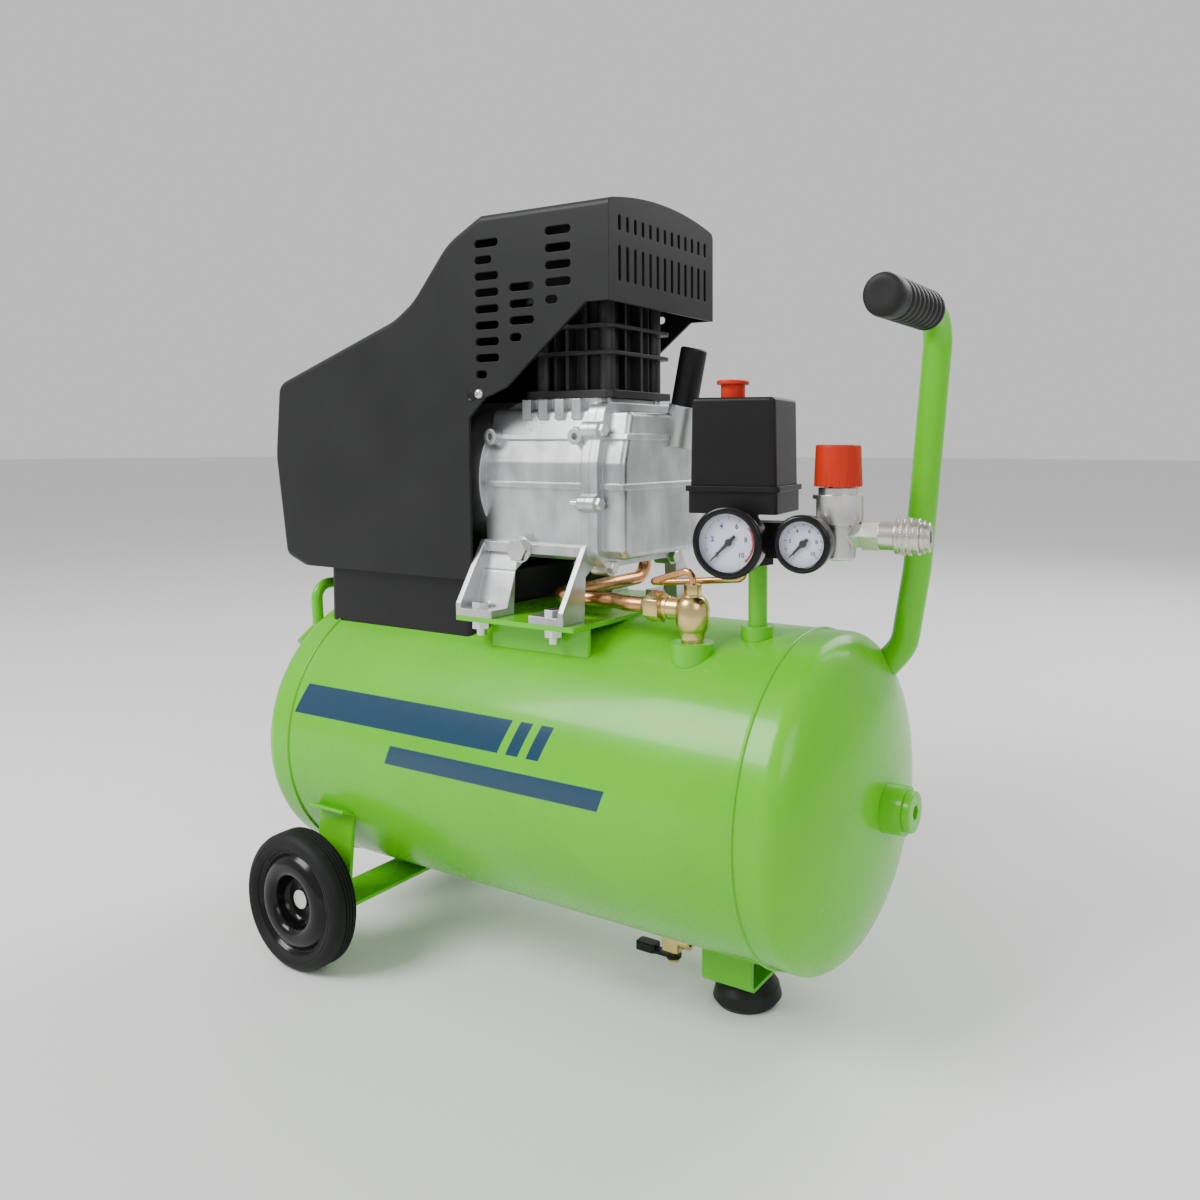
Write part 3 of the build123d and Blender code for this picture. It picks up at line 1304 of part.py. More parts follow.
with BuildPart() as gauge_lenses:
    for gauge_x, face_y, outer_r, inner_r in (BIG_GAUGE, SMALL_GAUGE):
        with BuildSketch(unit_front(gauge_x, face_y + 2.2, GAUGE_Z)):
            Circle(inner_r)
        extrude(amount=1.6)
finish(gauge_lenses, "gauge_lenses")


NEEDLE_REST = 225.0


def needle(gauge):
    """Gauge pointer at its zero stop, pointing down and to the left."""
    gauge_x, face_y, _, inner_r = gauge
    reach = inner_r - 4.0
    tail = -0.35 * reach
    along = Vector(cos(radians(NEEDLE_REST)), sin(radians(NEEDLE_REST)))
    across = Vector(-along.Y, along.X)
    outline = [(reach, 0.3), (0, 1.4), (tail, 1.1), (tail, -1.1), (0, -1.4), (reach, -0.3)]
    with BuildPart() as pointer:
        with BuildSketch(unit_front(gauge_x, face_y + DIAL_SINK - 2.0, GAUGE_Z)):
            with BuildLine():
                Polyline(*[along * u + across * v for u, v in outline], close=True)
            make_face()
            Circle(2.6)
        extrude(amount=0.8)
        with BuildSketch(unit_front(gauge_x, face_y + DIAL_SINK, GAUGE_Z)):
            Circle(0.95)
        extrude(amount=2.0)
    return pointer


finish(needle(BIG_GAUGE), "tank_needle")
finish(needle(SMALL_GAUGE), "outlet_needle")

REGULATOR_Z0 = 358.0
REGULATOR_SPLIT = 388.0
REGULATOR_TOP = 409.0
KNOB_TOP = 441.0

with BuildPart() as regulator_body:
    with BuildSketch(unit_level(REGULATOR_Z0, REGULATOR_X)):
        Circle(13.0)
    extrude(amount=REGULATOR_SPLIT - REGULATOR_Z0)
    fillet(regulator_body.faces().sort_by(Axis.Z)[0].edges(), 2.0)
    with BuildSketch(unit_level(REGULATOR_SPLIT - 4.0, REGULATOR_X)):
        Circle(18.5)
    extrude(amount=REGULATOR_TOP - REGULATOR_SPLIT)
    with BuildSketch(unit_side(REGULATOR_X, 0, COUPLER_Z)):
        RegularPolygon(8.5, 6, major_radius=False)
    extrude(amount=COUPLER_X0 - REGULATOR_X)
    with BuildSketch(unit_level(REGULATOR_TOP - 4.0, REGULATOR_X)):
        Circle(14.5)
    extrude(amount=5.0)
    with BuildSketch(unit_level(REGULATOR_TOP, REGULATOR_X)):
        Circle(7.0)
    extrude(amount=8.0)
    with BuildSketch(unit_side(48.0, 0, MANIFOLD_Z)):
        Rectangle(60.0, 60.0)
    extrude(amount=-30.0, mode=Mode.SUBTRACT)
finish(regulator_body, "regulator_body")

FLUTES = 20

with BuildPart() as regulator_knob:
    with BuildSketch(unit_level(REGULATOR_TOP + 2.0, REGULATOR_X)):
        Circle(17.6)
    extrude(amount=KNOB_TOP - REGULATOR_TOP - 2.0, taper=2.2)
    with BuildSketch(unit_level(REGULATOR_TOP, REGULATOR_X)):
        with PolarLocations(18.6, FLUTES):
            Circle(1.5)
    extrude(amount=16.0, mode=Mode.SUBTRACT)
    fillet(regulator_knob.faces().sort_by(Axis.Z)[-1].edges(), 1.5)
    with BuildSketch(unit_level(REGULATOR_TOP, REGULATOR_X)):
        Circle(7.06)
    extrude(amount=20.0, mode=Mode.SUBTRACT)
finish(regulator_knob, "regulator_knob")

SLEEVE_X0 = 103.0
SLEEVE_X1 = 121.0
SLEEVE_BORE = 10.6

with BuildPart() as coupler_body:
    with BuildSketch(unit_side(COUPLER_X0, 0, COUPLER_Z)):
        RegularPolygon(10.0, 6, major_radius=False)
    extrude(amount=12.0)
    with BuildSketch(unit_side(COUPLER_X0 + 12.0, 0, COUPLER_Z)):
        Circle(SLEEVE_BORE - 0.08)
    extrude(amount=COUPLER_X1 - COUPLER_X0 - 12.0)
    with BuildSketch(unit_side(SLEEVE_X1 + 1.0, 0, COUPLER_Z)):
        Circle(12.0)
    extrude(amount=2.0)
    fillet(coupler_body.faces().sort_by(Axis(unit_point(0, 0, 0), UNIT_RIGHT))[-1].edges(), 1.0)
    with BuildSketch(unit_side(COUPLER_X1, 0, COUPLER_Z)):
        Circle(COUPLER_BORE)
    extrude(amount=-26.0, mode=Mode.SUBTRACT)
finish(coupler_body, "coupler_body")

with BuildPart() as coupler_sleeve:
    with BuildSketch(unit_side(SLEEVE_X0, 0, COUPLER_Z)):
        Circle(13.2)
    extrude(amount=SLEEVE_X1 - SLEEVE_X0)
    fillet(coupler_sleeve.edges().filter_by(GeomType.CIRCLE), 1.0)
    for groove in (3.0, 7.5, 12.0):
        with BuildSketch(unit_side(SLEEVE_X0 + groove, 0, COUPLER_Z)):
            Circle(14.0)
            Circle(12.5, mode=Mode.SUBTRACT)
        extrude(amount=1.8, mode=Mode.SUBTRACT)
    with BuildSketch(unit_side(SLEEVE_X0, 0, COUPLER_Z)):
        Circle(SLEEVE_BORE)
    extrude(amount=SLEEVE_X1 - SLEEVE_X0, mode=Mode.SUBTRACT)
finish(coupler_sleeve, "coupler_sleeve")

SAFETY_X = 24.0
SAFETY_Y0 = MANIFOLD_HALF
SAFETY_Y1 = 38.0

with BuildPart() as safety_valve:
    with BuildSketch(unit_front(SAFETY_X, SAFETY_Y0, MANIFOLD_Z)):
        RegularPolygon(7.5, 6, major_radius=False)
    extrude(amount=-8.0)
    with BuildSketch(unit_front(SAFETY_X, SAFETY_Y0 + 8.0, MANIFOLD_Z)):
        Circle(6.0)
    extrude(amount=-(SAFETY_Y1 - SAFETY_Y0 - 8.0))
    with BuildSketch(unit_front(SAFETY_X, SAFETY_Y1, MANIFOLD_Z)):
        Circle(1.66)
    extrude(amount=16.0, mode=Mode.SUBTRACT)
finish(safety_valve, "safety_valve")

with BuildPart() as safety_ring:
    with BuildSketch(unit_front(SAFETY_X, SAFETY_Y1 - 14.0, MANIFOLD_Z)):
        Circle(1.6)
    extrude(amount=-18.0)
    with BuildSketch(unit_level(MANIFOLD_Z - 1.2, SAFETY_X, SAFETY_Y1 + 12.0)):
        Circle(9.0)
        Circle(6.8, mode=Mode.SUBTRACT)
    extrude(amount=2.4)
finish(safety_ring, "safety_ring")

# ---- pipework -----------------------------------------------------------------------------------

VALVE_ARM_X = VALVE_X - 32.0

with BuildPart() as check_valve:
    with BuildSketch(level(VALVE_BOSS_TOP - 12.0, VALVE_X, VALVE_Y)):
        Circle(8.5)
    extrude(amount=14.0)
    with BuildSketch(level(VALVE_BOSS_TOP + 2.0, VALVE_X, VALVE_Y)):
        Circle(9.5)
    extrude(amount=8.0)
    with BuildSketch(level(VALVE_BOSS_TOP + 9.0, VALVE_X, VALVE_Y)):
        RegularPolygon(12.5, 8, major_radius=False)
    extrude(amount=26.0)
    chamfer(check_valve.faces().sort_by(Axis.Z)[-1].edges(), 2.5)
    with BuildSketch(facing_x(VALVE_ARM_X + 8.0, VALVE_Y, DISCHARGE_Z)):
        Circle(8.0)
    extrude(amount=VALVE_X - VALVE_ARM_X - 8.0)
    with BuildSketch(level(VALVE_BOSS_TOP + 35.0, VALVE_X, VALVE_Y)):
        RegularPolygon(5.5, 6, major_radius=False)
    extrude(amount=8.0)
    with BuildSketch(facing_x(VALVE_ARM_X - 6.0, VALVE_Y, DISCHARGE_Z)):
        RegularPolygon(10.5, 6, major_radius=False)
    extrude(amount=14.0)
    with BuildSketch(facing_x(VALVE_ARM_X - 6.0, VALVE_Y, DISCHARGE_Z)):
        Circle(DISCHARGE_R)
    extrude(amount=18.0, mode=Mode.SUBTRACT)
    with BuildSketch(level(VALVE_BOSS_TOP + 43.0, VALVE_X, VALVE_Y)):
        Circle(UNLOADER_R)
    extrude(amount=-7.0, mode=Mode.SUBTRACT)
    with BuildSketch(level(VALVE_BOSS_TOP - 12.0, VALVE_X, VALVE_Y)):
        Circle(5.0)
    extrude(amount=20.0, mode=Mode.SUBTRACT)
    add(ENVELOPE, mode=Mode.SUBTRACT)
finish(check_valve, "check_valve")

discharge_route = [
    (OUTLET_X, FIN_HALF - 8.0, OUTLET_Z),
    (OUTLET_X, FIN_HALF + 15.0, OUTLET_Z),
    (OUTLET_X, FIN_HALF + 15.0, 520.0),
    (OUTLET_X, 78.0, 470.0),
    (OUTLET_X, 78.0, DISCHARGE_Z),
    (OUTLET_X, -50.0, DISCHARGE_Z),
    (66.0, -50.0, DISCHARGE_Z),
    (84.0, VALVE_Y, DISCHARGE_Z),
    (VALVE_ARM_X + 10.0, VALVE_Y, DISCHARGE_Z),
]

with BuildPart() as discharge_tube:
    add(tube_along(discharge_route, [10.0, 20.0, 20.0, 14.0, 16.0, 20.0, 20.0], DISCHARGE_R, DISCHARGE_R - 1.2))
finish(discharge_tube, "discharge_tube")

UNLOADER_END = unit_point(-11.0, 0, RISER_TOP)
unloader_route = [
    (VALVE_X, VALVE_Y, VALVE_BOSS_TOP + 38.0),
    (VALVE_X, VALVE_Y, VALVE_BOSS_TOP + 54.0),
    (VALVE_X - 38.0, VALVE_Y + 2.0, VALVE_BOSS_TOP + 42.0),
    (VALVE_X - 38.0, VALVE_Y + 14.0, VALVE_BOSS_TOP + 40.0),
    (UNLOADER_END.X, UNLOADER_END.Y, RISER_TOP - 12.0),
    (UNLOADER_END.X, UNLOADER_END.Y, RISER_TOP),
]

with BuildPart() as unloader_tube:
    add(tube_along(unloader_route, [5.5, 5.5, 5.5, 5.5], UNLOADER_R, 0.0))
finish(unloader_tube, "unloader_tube")
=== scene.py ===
"""Looks of a portable piston air compressor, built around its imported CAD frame.

Every size is in metres, in the frame of the CAD model: +X runs along the tank towards the gauges,
+Y away from the gauge side and +Z up. Places are read from the CAD nodes.
"""

import json
import logging
import math
from dataclasses import dataclass, field
from enum import Enum

import bpy
from mathutils import Matrix, Vector

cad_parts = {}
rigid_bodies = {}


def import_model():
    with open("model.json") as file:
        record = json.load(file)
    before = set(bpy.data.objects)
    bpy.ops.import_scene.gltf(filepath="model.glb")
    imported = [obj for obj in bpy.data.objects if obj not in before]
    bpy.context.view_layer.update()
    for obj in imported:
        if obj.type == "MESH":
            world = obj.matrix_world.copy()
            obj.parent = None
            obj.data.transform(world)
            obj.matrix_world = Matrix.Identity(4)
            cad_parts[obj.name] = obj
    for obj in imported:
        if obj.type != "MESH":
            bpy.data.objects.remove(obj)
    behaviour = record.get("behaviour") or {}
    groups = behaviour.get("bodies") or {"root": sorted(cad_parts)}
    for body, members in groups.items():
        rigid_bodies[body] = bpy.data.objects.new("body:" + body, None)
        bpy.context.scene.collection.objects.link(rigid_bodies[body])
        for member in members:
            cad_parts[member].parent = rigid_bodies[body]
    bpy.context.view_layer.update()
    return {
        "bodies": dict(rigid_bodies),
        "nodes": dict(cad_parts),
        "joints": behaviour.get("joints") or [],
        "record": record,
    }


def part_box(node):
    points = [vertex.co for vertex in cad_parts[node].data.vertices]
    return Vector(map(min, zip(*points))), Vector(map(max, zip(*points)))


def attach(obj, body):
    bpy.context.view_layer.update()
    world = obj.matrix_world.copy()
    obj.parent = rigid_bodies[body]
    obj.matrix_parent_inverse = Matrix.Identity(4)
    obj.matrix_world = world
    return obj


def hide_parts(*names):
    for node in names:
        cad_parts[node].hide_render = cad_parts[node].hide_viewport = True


logging.basicConfig(level=logging.INFO, format="%(message)s")
log = logging.getLogger("compressor")

Point = tuple[float, float, float]
Colour = tuple[float, float, float]
Outline = list[tuple[float, float]]

MM = 0.001
X_AXIS = Vector((1.0, 0.0, 0.0))
Y_AXIS = Vector((0.0, 1.0, 0.0))
Z_AXIS = Vector((0.0, 0.0, 1.0))
SMOOTH_ANGLE = math.radians(34.0)
EDGE_SAMPLES = 6
HEXAGON_BEVEL = 0.035
FIGURE_DEPTH = 0.00004
FIGURE_BOLDNESS = 0.025


# ---- shader building blocks ----------------------------------------------------------------------


class Signal:
    """A number that varies over a surface: a node socket that can be used in Python sums."""

    def __init__(self, shading: "Shading", socket: bpy.types.NodeSocket) -> None:
        """Wrap a socket of a shading tree."""
        self.shading = shading
        self.socket = socket

    def _math(self, operation: str, *others: "Signal | float") -> "Signal":
        """Add one Math node.

        Args:
            operation: The Math node's operation.
            others: The values that follow this one.

        Returns:
            The node's result.
        """
        values = dict(enumerate([self, *others]))
        return self.shading.signal("ShaderNodeMath", {"operation": operation}, values)

    def __add__(self, other: "Signal | float") -> "Signal":
        """Sum."""
        return self._math("ADD", other)

    def __radd__(self, other: float) -> "Signal":
        """Sum with a number on the left."""
        return self._math("ADD", other)

    def __sub__(self, other: "Signal | float") -> "Signal":
        """Difference."""
        return self._math("SUBTRACT", other)

    def __rsub__(self, other: float) -> "Signal":
        """Difference from a number on the left."""
        return (self * -1.0) + other

    def __mul__(self, other: "Signal | float") -> "Signal":
        """Product."""
        return self._math("MULTIPLY", other)

    def higher(self, other: "Signal | float") -> "Signal":
        """The larger of two values."""
        return self._math("MAXIMUM", other)

    def step(self, start: float, end: float) -> "Signal":
        """Smooth step from 0 to 1 as this value goes from start to end.

        Args:
            start: Value that gives 0.
            end: Value that gives 1.

        Returns:
            The step.
        """
        settings = {"interpolation_type": "SMOOTHSTEP", "clamp": True}
        inputs = {"Value": self, "From Min": start, "From Max": end, "To Min": 0.0, "To Max": 1.0}
        return self.shading.signal("ShaderNodeMapRange", settings, inputs)

    def within(self, low: float, high: float, soft: float) -> "Signal":
        """Mask of the values from low to high, with edges of width soft."""
        return self.step(low, low + soft) * (1.0 - self.step(high, high + soft))


class Shading:
    """The node tree of one material."""

    def __init__(self, name: str) -> None:
        """Start an empty material with the given name."""
        self.material = bpy.data.materials.new(name)
        self.material.use_nodes = True
        self.tree = self.material.node_tree
        self.tree.nodes.clear()

    def node(self, kind: str, settings: dict, inputs: dict) -> bpy.types.Node:
        """Add a node.

        Args:
            kind: The node's type.
            settings: Attributes that are set first, and "stops" for a colour ramp.
            inputs: Socket names or numbers, with a value, a Signal or a socket for each.

        Returns:
            The new node.
        """
        made = self.tree.nodes.new(kind)
        for key, value in settings.items():
            if key == "stops":
                ramp = made.color_ramp
                for index, (place, colour) in enumerate(value):
                    stop = ramp.elements[index] if index < 2 else ramp.elements.new(place)
                    stop.position, stop.color = place, (*colour, 1.0)
            else:
                setattr(made, key, value)
        for key, value in inputs.items():
            socket = made.inputs[key]
            if isinstance(value, Signal):
                self.tree.links.new(value.socket, socket)
            elif isinstance(value, bpy.types.NodeSocket):
                self.tree.links.new(value, socket)
            else:
                socket.default_value = value
        return made

    def signal(self, kind: str, settings: dict, inputs: dict, output: str | int = 0) -> Signal:
        """Add a node and wrap one of its outputs.

        Args:
            kind: The node's type.
            settings: Attributes that are set first.
            inputs: Values or links of its sockets.
            output: Name or number of the output.

        Returns:
            The output as a Signal.
        """
        return Signal(self, self.node(kind, settings, inputs).outputs[output])

    def place(self) -> bpy.types.NodeSocket:
        """The point on the surface in the object's own coordinates."""
        return self.node("ShaderNodeTexCoord", {}, {}).outputs["Object"]

    def axes(self, point: bpy.types.NodeSocket) -> tuple[Signal, Signal, Signal]:
        """The three coordinates of a point."""
        split = self.node("ShaderNodeSeparateXYZ", {}, {0: point})
        return tuple(Signal(self, split.outputs[axis]) for axis in range(3))

    def noise(self, scale: float, detail: float = 3.0, stretch: Point = (1.0, 1.0, 1.0)) -> Signal:
        """Cloudy noise.

        Args:
            scale: Features per metre.
            detail: Number of finer layers.
            stretch: Factors on the coordinates, for drawn-out noise.

        Returns:
            The noise, from 0 to 1.
        """
        point = self.place()
        if stretch != (1.0, 1.0, 1.0):
            mapping = self.node("ShaderNodeMapping", {}, {"Vector": point, "Scale": stretch})
            point = mapping.outputs[0]
        inputs = {"Vector": point, "Scale": scale, "Detail": detail}
        return self.signal("ShaderNodeTexNoise", {}, inputs)

    def mix(self, mask: Signal, low: object, high: object) -> bpy.types.NodeSocket:
        """Blend two colours.

        Args:
            mask: 0 for low, 1 for high.
            low: Colour or colour socket.
            high: Colour or colour socket.

        Returns:
            The blended colour.
        """
        low = (*low, 1.0) if isinstance(low, tuple) else low
        high = (*high, 1.0) if isinstance(high, tuple) else high
        made = self.node("ShaderNodeMix", {"data_type": "RGBA"}, {0: mask, 6: low, 7: high})
        return made.outputs[2]

    def relief(
        self, height: Signal, strength: float, distance: float, edge: float
    ) -> bpy.types.NodeSocket:
        """Surface relief over softened edges.

        Args:
            height: Height of the relief, from 0 to 1.
            strength: Strength of the bump.
            distance: Depth of the bump in metres.
            edge: Radius that the shading gives to sharp edges, in metres.

        Returns:
            The surface normal.
        """
        inputs = {"Strength": strength, "Distance": distance, "Height": height}
        if edge > 0.0:
            rounded = self.node("ShaderNodeBevel", {"samples": EDGE_SAMPLES}, {"Radius": edge})
            inputs["Normal"] = rounded.outputs[0]
        return self.node("ShaderNodeBump", {}, inputs).outputs[0]

    def surface(self, inputs: dict) -> bpy.types.Material:
        """Close the tree with a surface shader.

        Args:
            inputs: Values or links of the shader's sockets.

        Returns:
            The finished material.
        """
        colour = inputs["Base Color"]
        if isinstance(colour, tuple):
            inputs["Base Color"] = (*colour, 1.0)
        shader = self.node("ShaderNodeBsdfPrincipled", {}, inputs)
        end = self.node("ShaderNodeOutputMaterial", {}, {"Surface": shader.outputs[0]})
        end.is_active_output = True
        return self.material


def shade(colour: Colour, factor: float) -> Colour:
    """A colour made lighter or darker."""
    return tuple(min(1.0, channel * factor) for channel in colour)


# ---- finishes ------------------------------------------------------------------------------------


@dataclass(frozen=True)
class Stripes:
    """The slanted stripes on the gauge side of the tank, in metres."""

    colour: Colour
    slant: float = 0.35
    soft: float = 0.0006
    left_right_low_high: tuple[tuple[float, float, float, float], ...] = (
        (-0.300, -0.020, 0.208, 0.232),
        (-0.175, 0.040, 0.182, 0.197),
    )
    gaps: tuple[float, ...] = (-0.066, -0.046, -0.026)
    gap_width: float = 0.008
    gaps_above: float = 0.200
    middle: float = 0.001

    def mask(self, shading: Shading) -> Signal:
        """Mask of the stripes: the gaps cut the upper one only."""
        along, across, height = shading.axes(shading.place())
        slanted = along - height * self.slant
        mask = None
        for left, right, low, high in self.left_right_low_high:
            band = slanted.within(left, right, self.soft) * height.within(low, high, self.soft)
            mask = band if mask is None else mask.higher(band)
        for gap in self.gaps:
            opened = slanted.within(gap, gap + self.gap_width, self.soft)
            opened = opened * height.step(self.gaps_above, self.gaps_above + self.soft)
            mask = mask * (1.0 - opened)
        return mask * (1.0 - across.step(-self.middle, self.middle))


@dataclass(frozen=True)
class Paint:
    """Glossy sprayed enamel with a faint orange peel and a slightly cloudy tone."""

    name: str
    colour: Colour
    roughness: float = 0.27
    coat: float = 0.18
    edge: float = 0.0009
    stripes: Stripes | None = None

    def material(self) -> bpy.types.Material:
        """Build the material."""
        shading = Shading(self.name)
        peel = shading.noise(scale=420.0, detail=2.0)
        cloud = shading.noise(scale=9.0, detail=4.0)
        fine = shading.noise(scale=70.0, detail=4.0)
        colour = shading.mix(cloud.step(0.35, 0.75), self.colour, shade(self.colour, 0.9))
        if self.stripes is not None:
            colour = shading.mix(self.stripes.mask(shading), colour, self.stripes.colour)
        roughness = self.roughness + (fine - 0.5) * 0.08 + (cloud - 0.5) * 0.06
        return shading.surface(
            {
                "Base Color": colour,
                "Roughness": roughness,
                "Normal": shading.relief(peel, strength=0.16, distance=0.0004, edge=self.edge),
                "Coat Weight": self.coat,
                "Coat Roughness": 0.08,
                "Specular IOR Level": 0.24,
            }
        )


@dataclass(frozen=True)
class Plastic:
    """Moulded plastic with a fine grain and slight polish marks."""

    name: str
    colour: Colour
    roughness: float = 0.42
    grain: float = 0.35
    edge: float = 0.0008
    shine: float = 0.28

    def material(self) -> bpy.types.Material:
        """Build the material."""
        shading = Shading(self.name)
        grain = shading.noise(scale=1600.0, detail=2.0)
        cloud = shading.noise(scale=14.0, detail=4.0)
        colour = shading.mix(cloud.step(0.3, 0.8), self.colour, shade(self.colour, 1.25))
        roughness = self.roughness + (cloud - 0.5) * 0.16 + (grain - 0.5) * 0.08
        return shading.surface(
            {
                "Base Color": colour,
                "Roughness": roughness,
                "Normal": shading.relief(grain, strength=self.grain, distance=0.00012, edge=self.edge),
                "Specular IOR Level": self.shine,
            }
        )


@dataclass(frozen=True)
class Casting:
    """Die-cast metal: uneven tone, dull patches and a sandy skin."""

    name: str
    colour: Colour
    roughness: float = 0.42
    metallic: float = 0.9
    skin: float = 0.35
    edge: float = 0.0012

    def material(self) -> bpy.types.Material:
        """Build the material."""
        shading = Shading(self.name)
        skin = shading.noise(scale=650.0, detail=4.0)
        patches = shading.noise(scale=26.0, detail=5.0)
        flow = shading.noise(scale=60.0, detail=3.0, stretch=(1.0, 1.0, 0.25))
        tone = (patches * 0.6 + flow * 0.4).step(0.32, 0.68)
        colour = shading.mix(tone, shade(self.colour, 0.66), shade(self.colour, 1.1))
        roughness = self.roughness + (patches - 0.5) * 0.34 + (skin - 0.5) * 0.15
        return shading.surface(
            {
                "Base Color": colour,
                "Roughness": roughness,
                "Metallic": self.metallic,
                "Normal": shading.relief(skin, strength=self.skin, distance=0.0003, edge=self.edge),
            }
        )


@dataclass(frozen=True)
class Plating:
    """Turned or plated metal with light tool marks and a few stains."""

    name: str
    colour: Colour
    roughness: float = 0.24
    stain: float = 0.85
    edge: float = 0.0004

    def material(self) -> bpy.types.Material:
        """Build the material."""
        shading = Shading(self.name)
        marks = shading.noise(scale=900.0, detail=2.0, stretch=(1.0, 0.2, 1.0))
        stains = shading.noise(scale=55.0, detail=4.0)
        colour = shading.mix(stains.step(0.4, 0.72), self.colour, shade(self.colour, self.stain))
        roughness = self.roughness + (stains - 0.5) * 0.22 + (marks - 0.5) * 0.08
        return shading.surface(
            {
                "Base Color": colour,
                "Roughness": roughness,
                "Metallic": 1.0,
                "Normal": shading.relief(marks, strength=0.2, distance=0.00008, edge=self.edge),
            }
        )


@dataclass(frozen=True)
class Rubber:
    """Dull black rubber with a dusty bloom."""

    name: str
    colour: Colour
    roughness: float = 0.62
    bloom: float = 1.9
    edge: float = 0.0008

    def material(self) -> bpy.types.Material:
        """Build the material."""
        shading = Shading(self.name)
        grain = shading.noise(scale=900.0, detail=3.0)
        dust = shading.noise(scale=38.0, detail=5.0)
        colour = shading.mix(dust.step(0.45, 0.8), self.colour, shade(self.colour, self.bloom))
        roughness = self.roughness + (dust - 0.5) * 0.2
        return shading.surface(
            {
                "Base Color": colour,
                "Roughness": roughness,
                "Normal": shading.relief(grain, strength=0.3, distance=0.00015, edge=self.edge),
                "Specular IOR Level": 0.22,
            }
        )


@dataclass(frozen=True)
class Print:
    """Flat printed ink or card, such as a dial face."""

    name: str
    colour: Colour
    roughness: float = 0.5

    def material(self) -> bpy.types.Material:
        """Build the material."""
        shading = Shading(self.name)
        fibre = shading.noise(scale=500.0, detail=2.0)
        colour = shading.mix(fibre.step(0.3, 0.7), self.colour, shade(self.colour, 0.95))
        roughness = self.roughness + (fibre - 0.5) * 0.1
        return shading.surface({"Base Color": colour, "Roughness": roughness})


@dataclass(frozen=True)
class Lens:
    """Clear gauge window that lets most of the dial through."""

    name: str
    colour: Colour
    clearness: float = 0.95

    def material(self) -> bpy.types.Material:
        """Build the material."""
        shading = Shading(self.name)
        smear = shading.noise(scale=60.0, detail=3.0)
        inputs = {
            "Base Color": self.colour,
            "Roughness": 0.04 + smear * 0.04,
            "Alpha": 1.0 - self.clearness,
            "Specular IOR Level": 0.6,
        }
        return shading.surface(inputs)


class Finish(Enum):
    """The finishes on this machine."""

    GREEN = Paint("lime green enamel", (0.105, 0.50, 0.004))
    TANK_GREEN = Paint(
        "striped lime enamel", (0.105, 0.50, 0.004), stripes=Stripes((0.008, 0.045, 0.085))
    )
    HOOD = Plastic("hood moulding", (0.0125, 0.0127, 0.013), roughness=0.44, shine=0.2)
    BLACK = Plastic("black moulding", (0.007, 0.007, 0.0074), roughness=0.36, shine=0.22)
    GLOSS_BLACK = Plastic(
        "gloss black moulding", (0.004, 0.004, 0.0042), roughness=0.18, grain=0.1, shine=0.26
    )
    RED = Plastic("red moulding", (0.44, 0.020, 0.004), roughness=0.36, shine=0.2)
    FINS = Casting("black painted fins", (0.014, 0.014, 0.0145), roughness=0.5, metallic=0.1)
    ALUMINIUM = Casting("die-cast aluminium", (0.60, 0.61, 0.62), roughness=0.36)
    SOFT_ALUMINIUM = Casting(
        "machined aluminium",
        (0.80, 0.79, 0.77),
        roughness=0.3,
        metallic=0.95,
        skin=0.15,
        edge=0.0006,
    )
    ZINC = Plating("bright zinc plate", (0.70, 0.70, 0.68), roughness=0.28)
    NICKEL = Plating("satin nickel plate", (0.66, 0.63, 0.55), roughness=0.26)
    STEEL = Plating("plain steel", (0.50, 0.50, 0.51), roughness=0.34)
    BRASS = Plating("raw brass", (0.66, 0.50, 0.20), roughness=0.25)
    COPPER = Plating("drawn copper tube", (0.72, 0.36, 0.16), roughness=0.26, stain=0.7)
    TYRE = Rubber("tyre rubber", (0.0065, 0.0065, 0.0068))
    RUBBER = Rubber("soft rubber", (0.010, 0.010, 0.010), roughness=0.5)
    DIAL = Print("dial card", (0.74, 0.76, 0.88))
    BLUE_INK = Print("blue dial ink", (0.02, 0.07, 0.24))
    RED_INK = Print("red dial ink", (0.62, 0.03, 0.03))
    BLACK_INK = Print("black dial ink", (0.01, 0.01, 0.012))
    LENS = Lens("gauge window", (0.20, 0.22, 0.25))


class Cabinet:
    """Keeps one built material for each finish."""

    def __init__(self) -> None:
        """Start with no materials built."""
        self._built: dict[Finish, bpy.types.Material] = {}

    def dress(self, piece: bpy.types.Object, finish: Finish) -> None:
        """Give a piece one finish all over.

        Args:
            piece: The object to dress.
            finish: Its finish.
        """
        if finish not in self._built:
            self._built[finish] = finish.value.material()
        piece.data.materials.clear()
        piece.data.materials.append(self._built[finish])


# ---- modelling bench -----------------------------------------------------------------------------


@dataclass(frozen=True)
class Pose:
    """A place and two directions that a piece is built on."""

    origin: Vector
    along: Vector
    up: Vector = field(default_factory=Z_AXIS.copy)

    def matrix(self) -> Matrix:
        """Matrix whose local z runs along, and whose local y is as near to up as can be."""
        z = self.along.normalized()
        x = self.up.cross(z).normalized()
        y = z.cross(x)
        made = Matrix((x, y, z)).transposed().to_4x4()
        made.translation = self.origin
        return made


FLAT = Pose(Vector((0.0, 0.0, 0.0)), Z_AXIS, Y_AXIS)


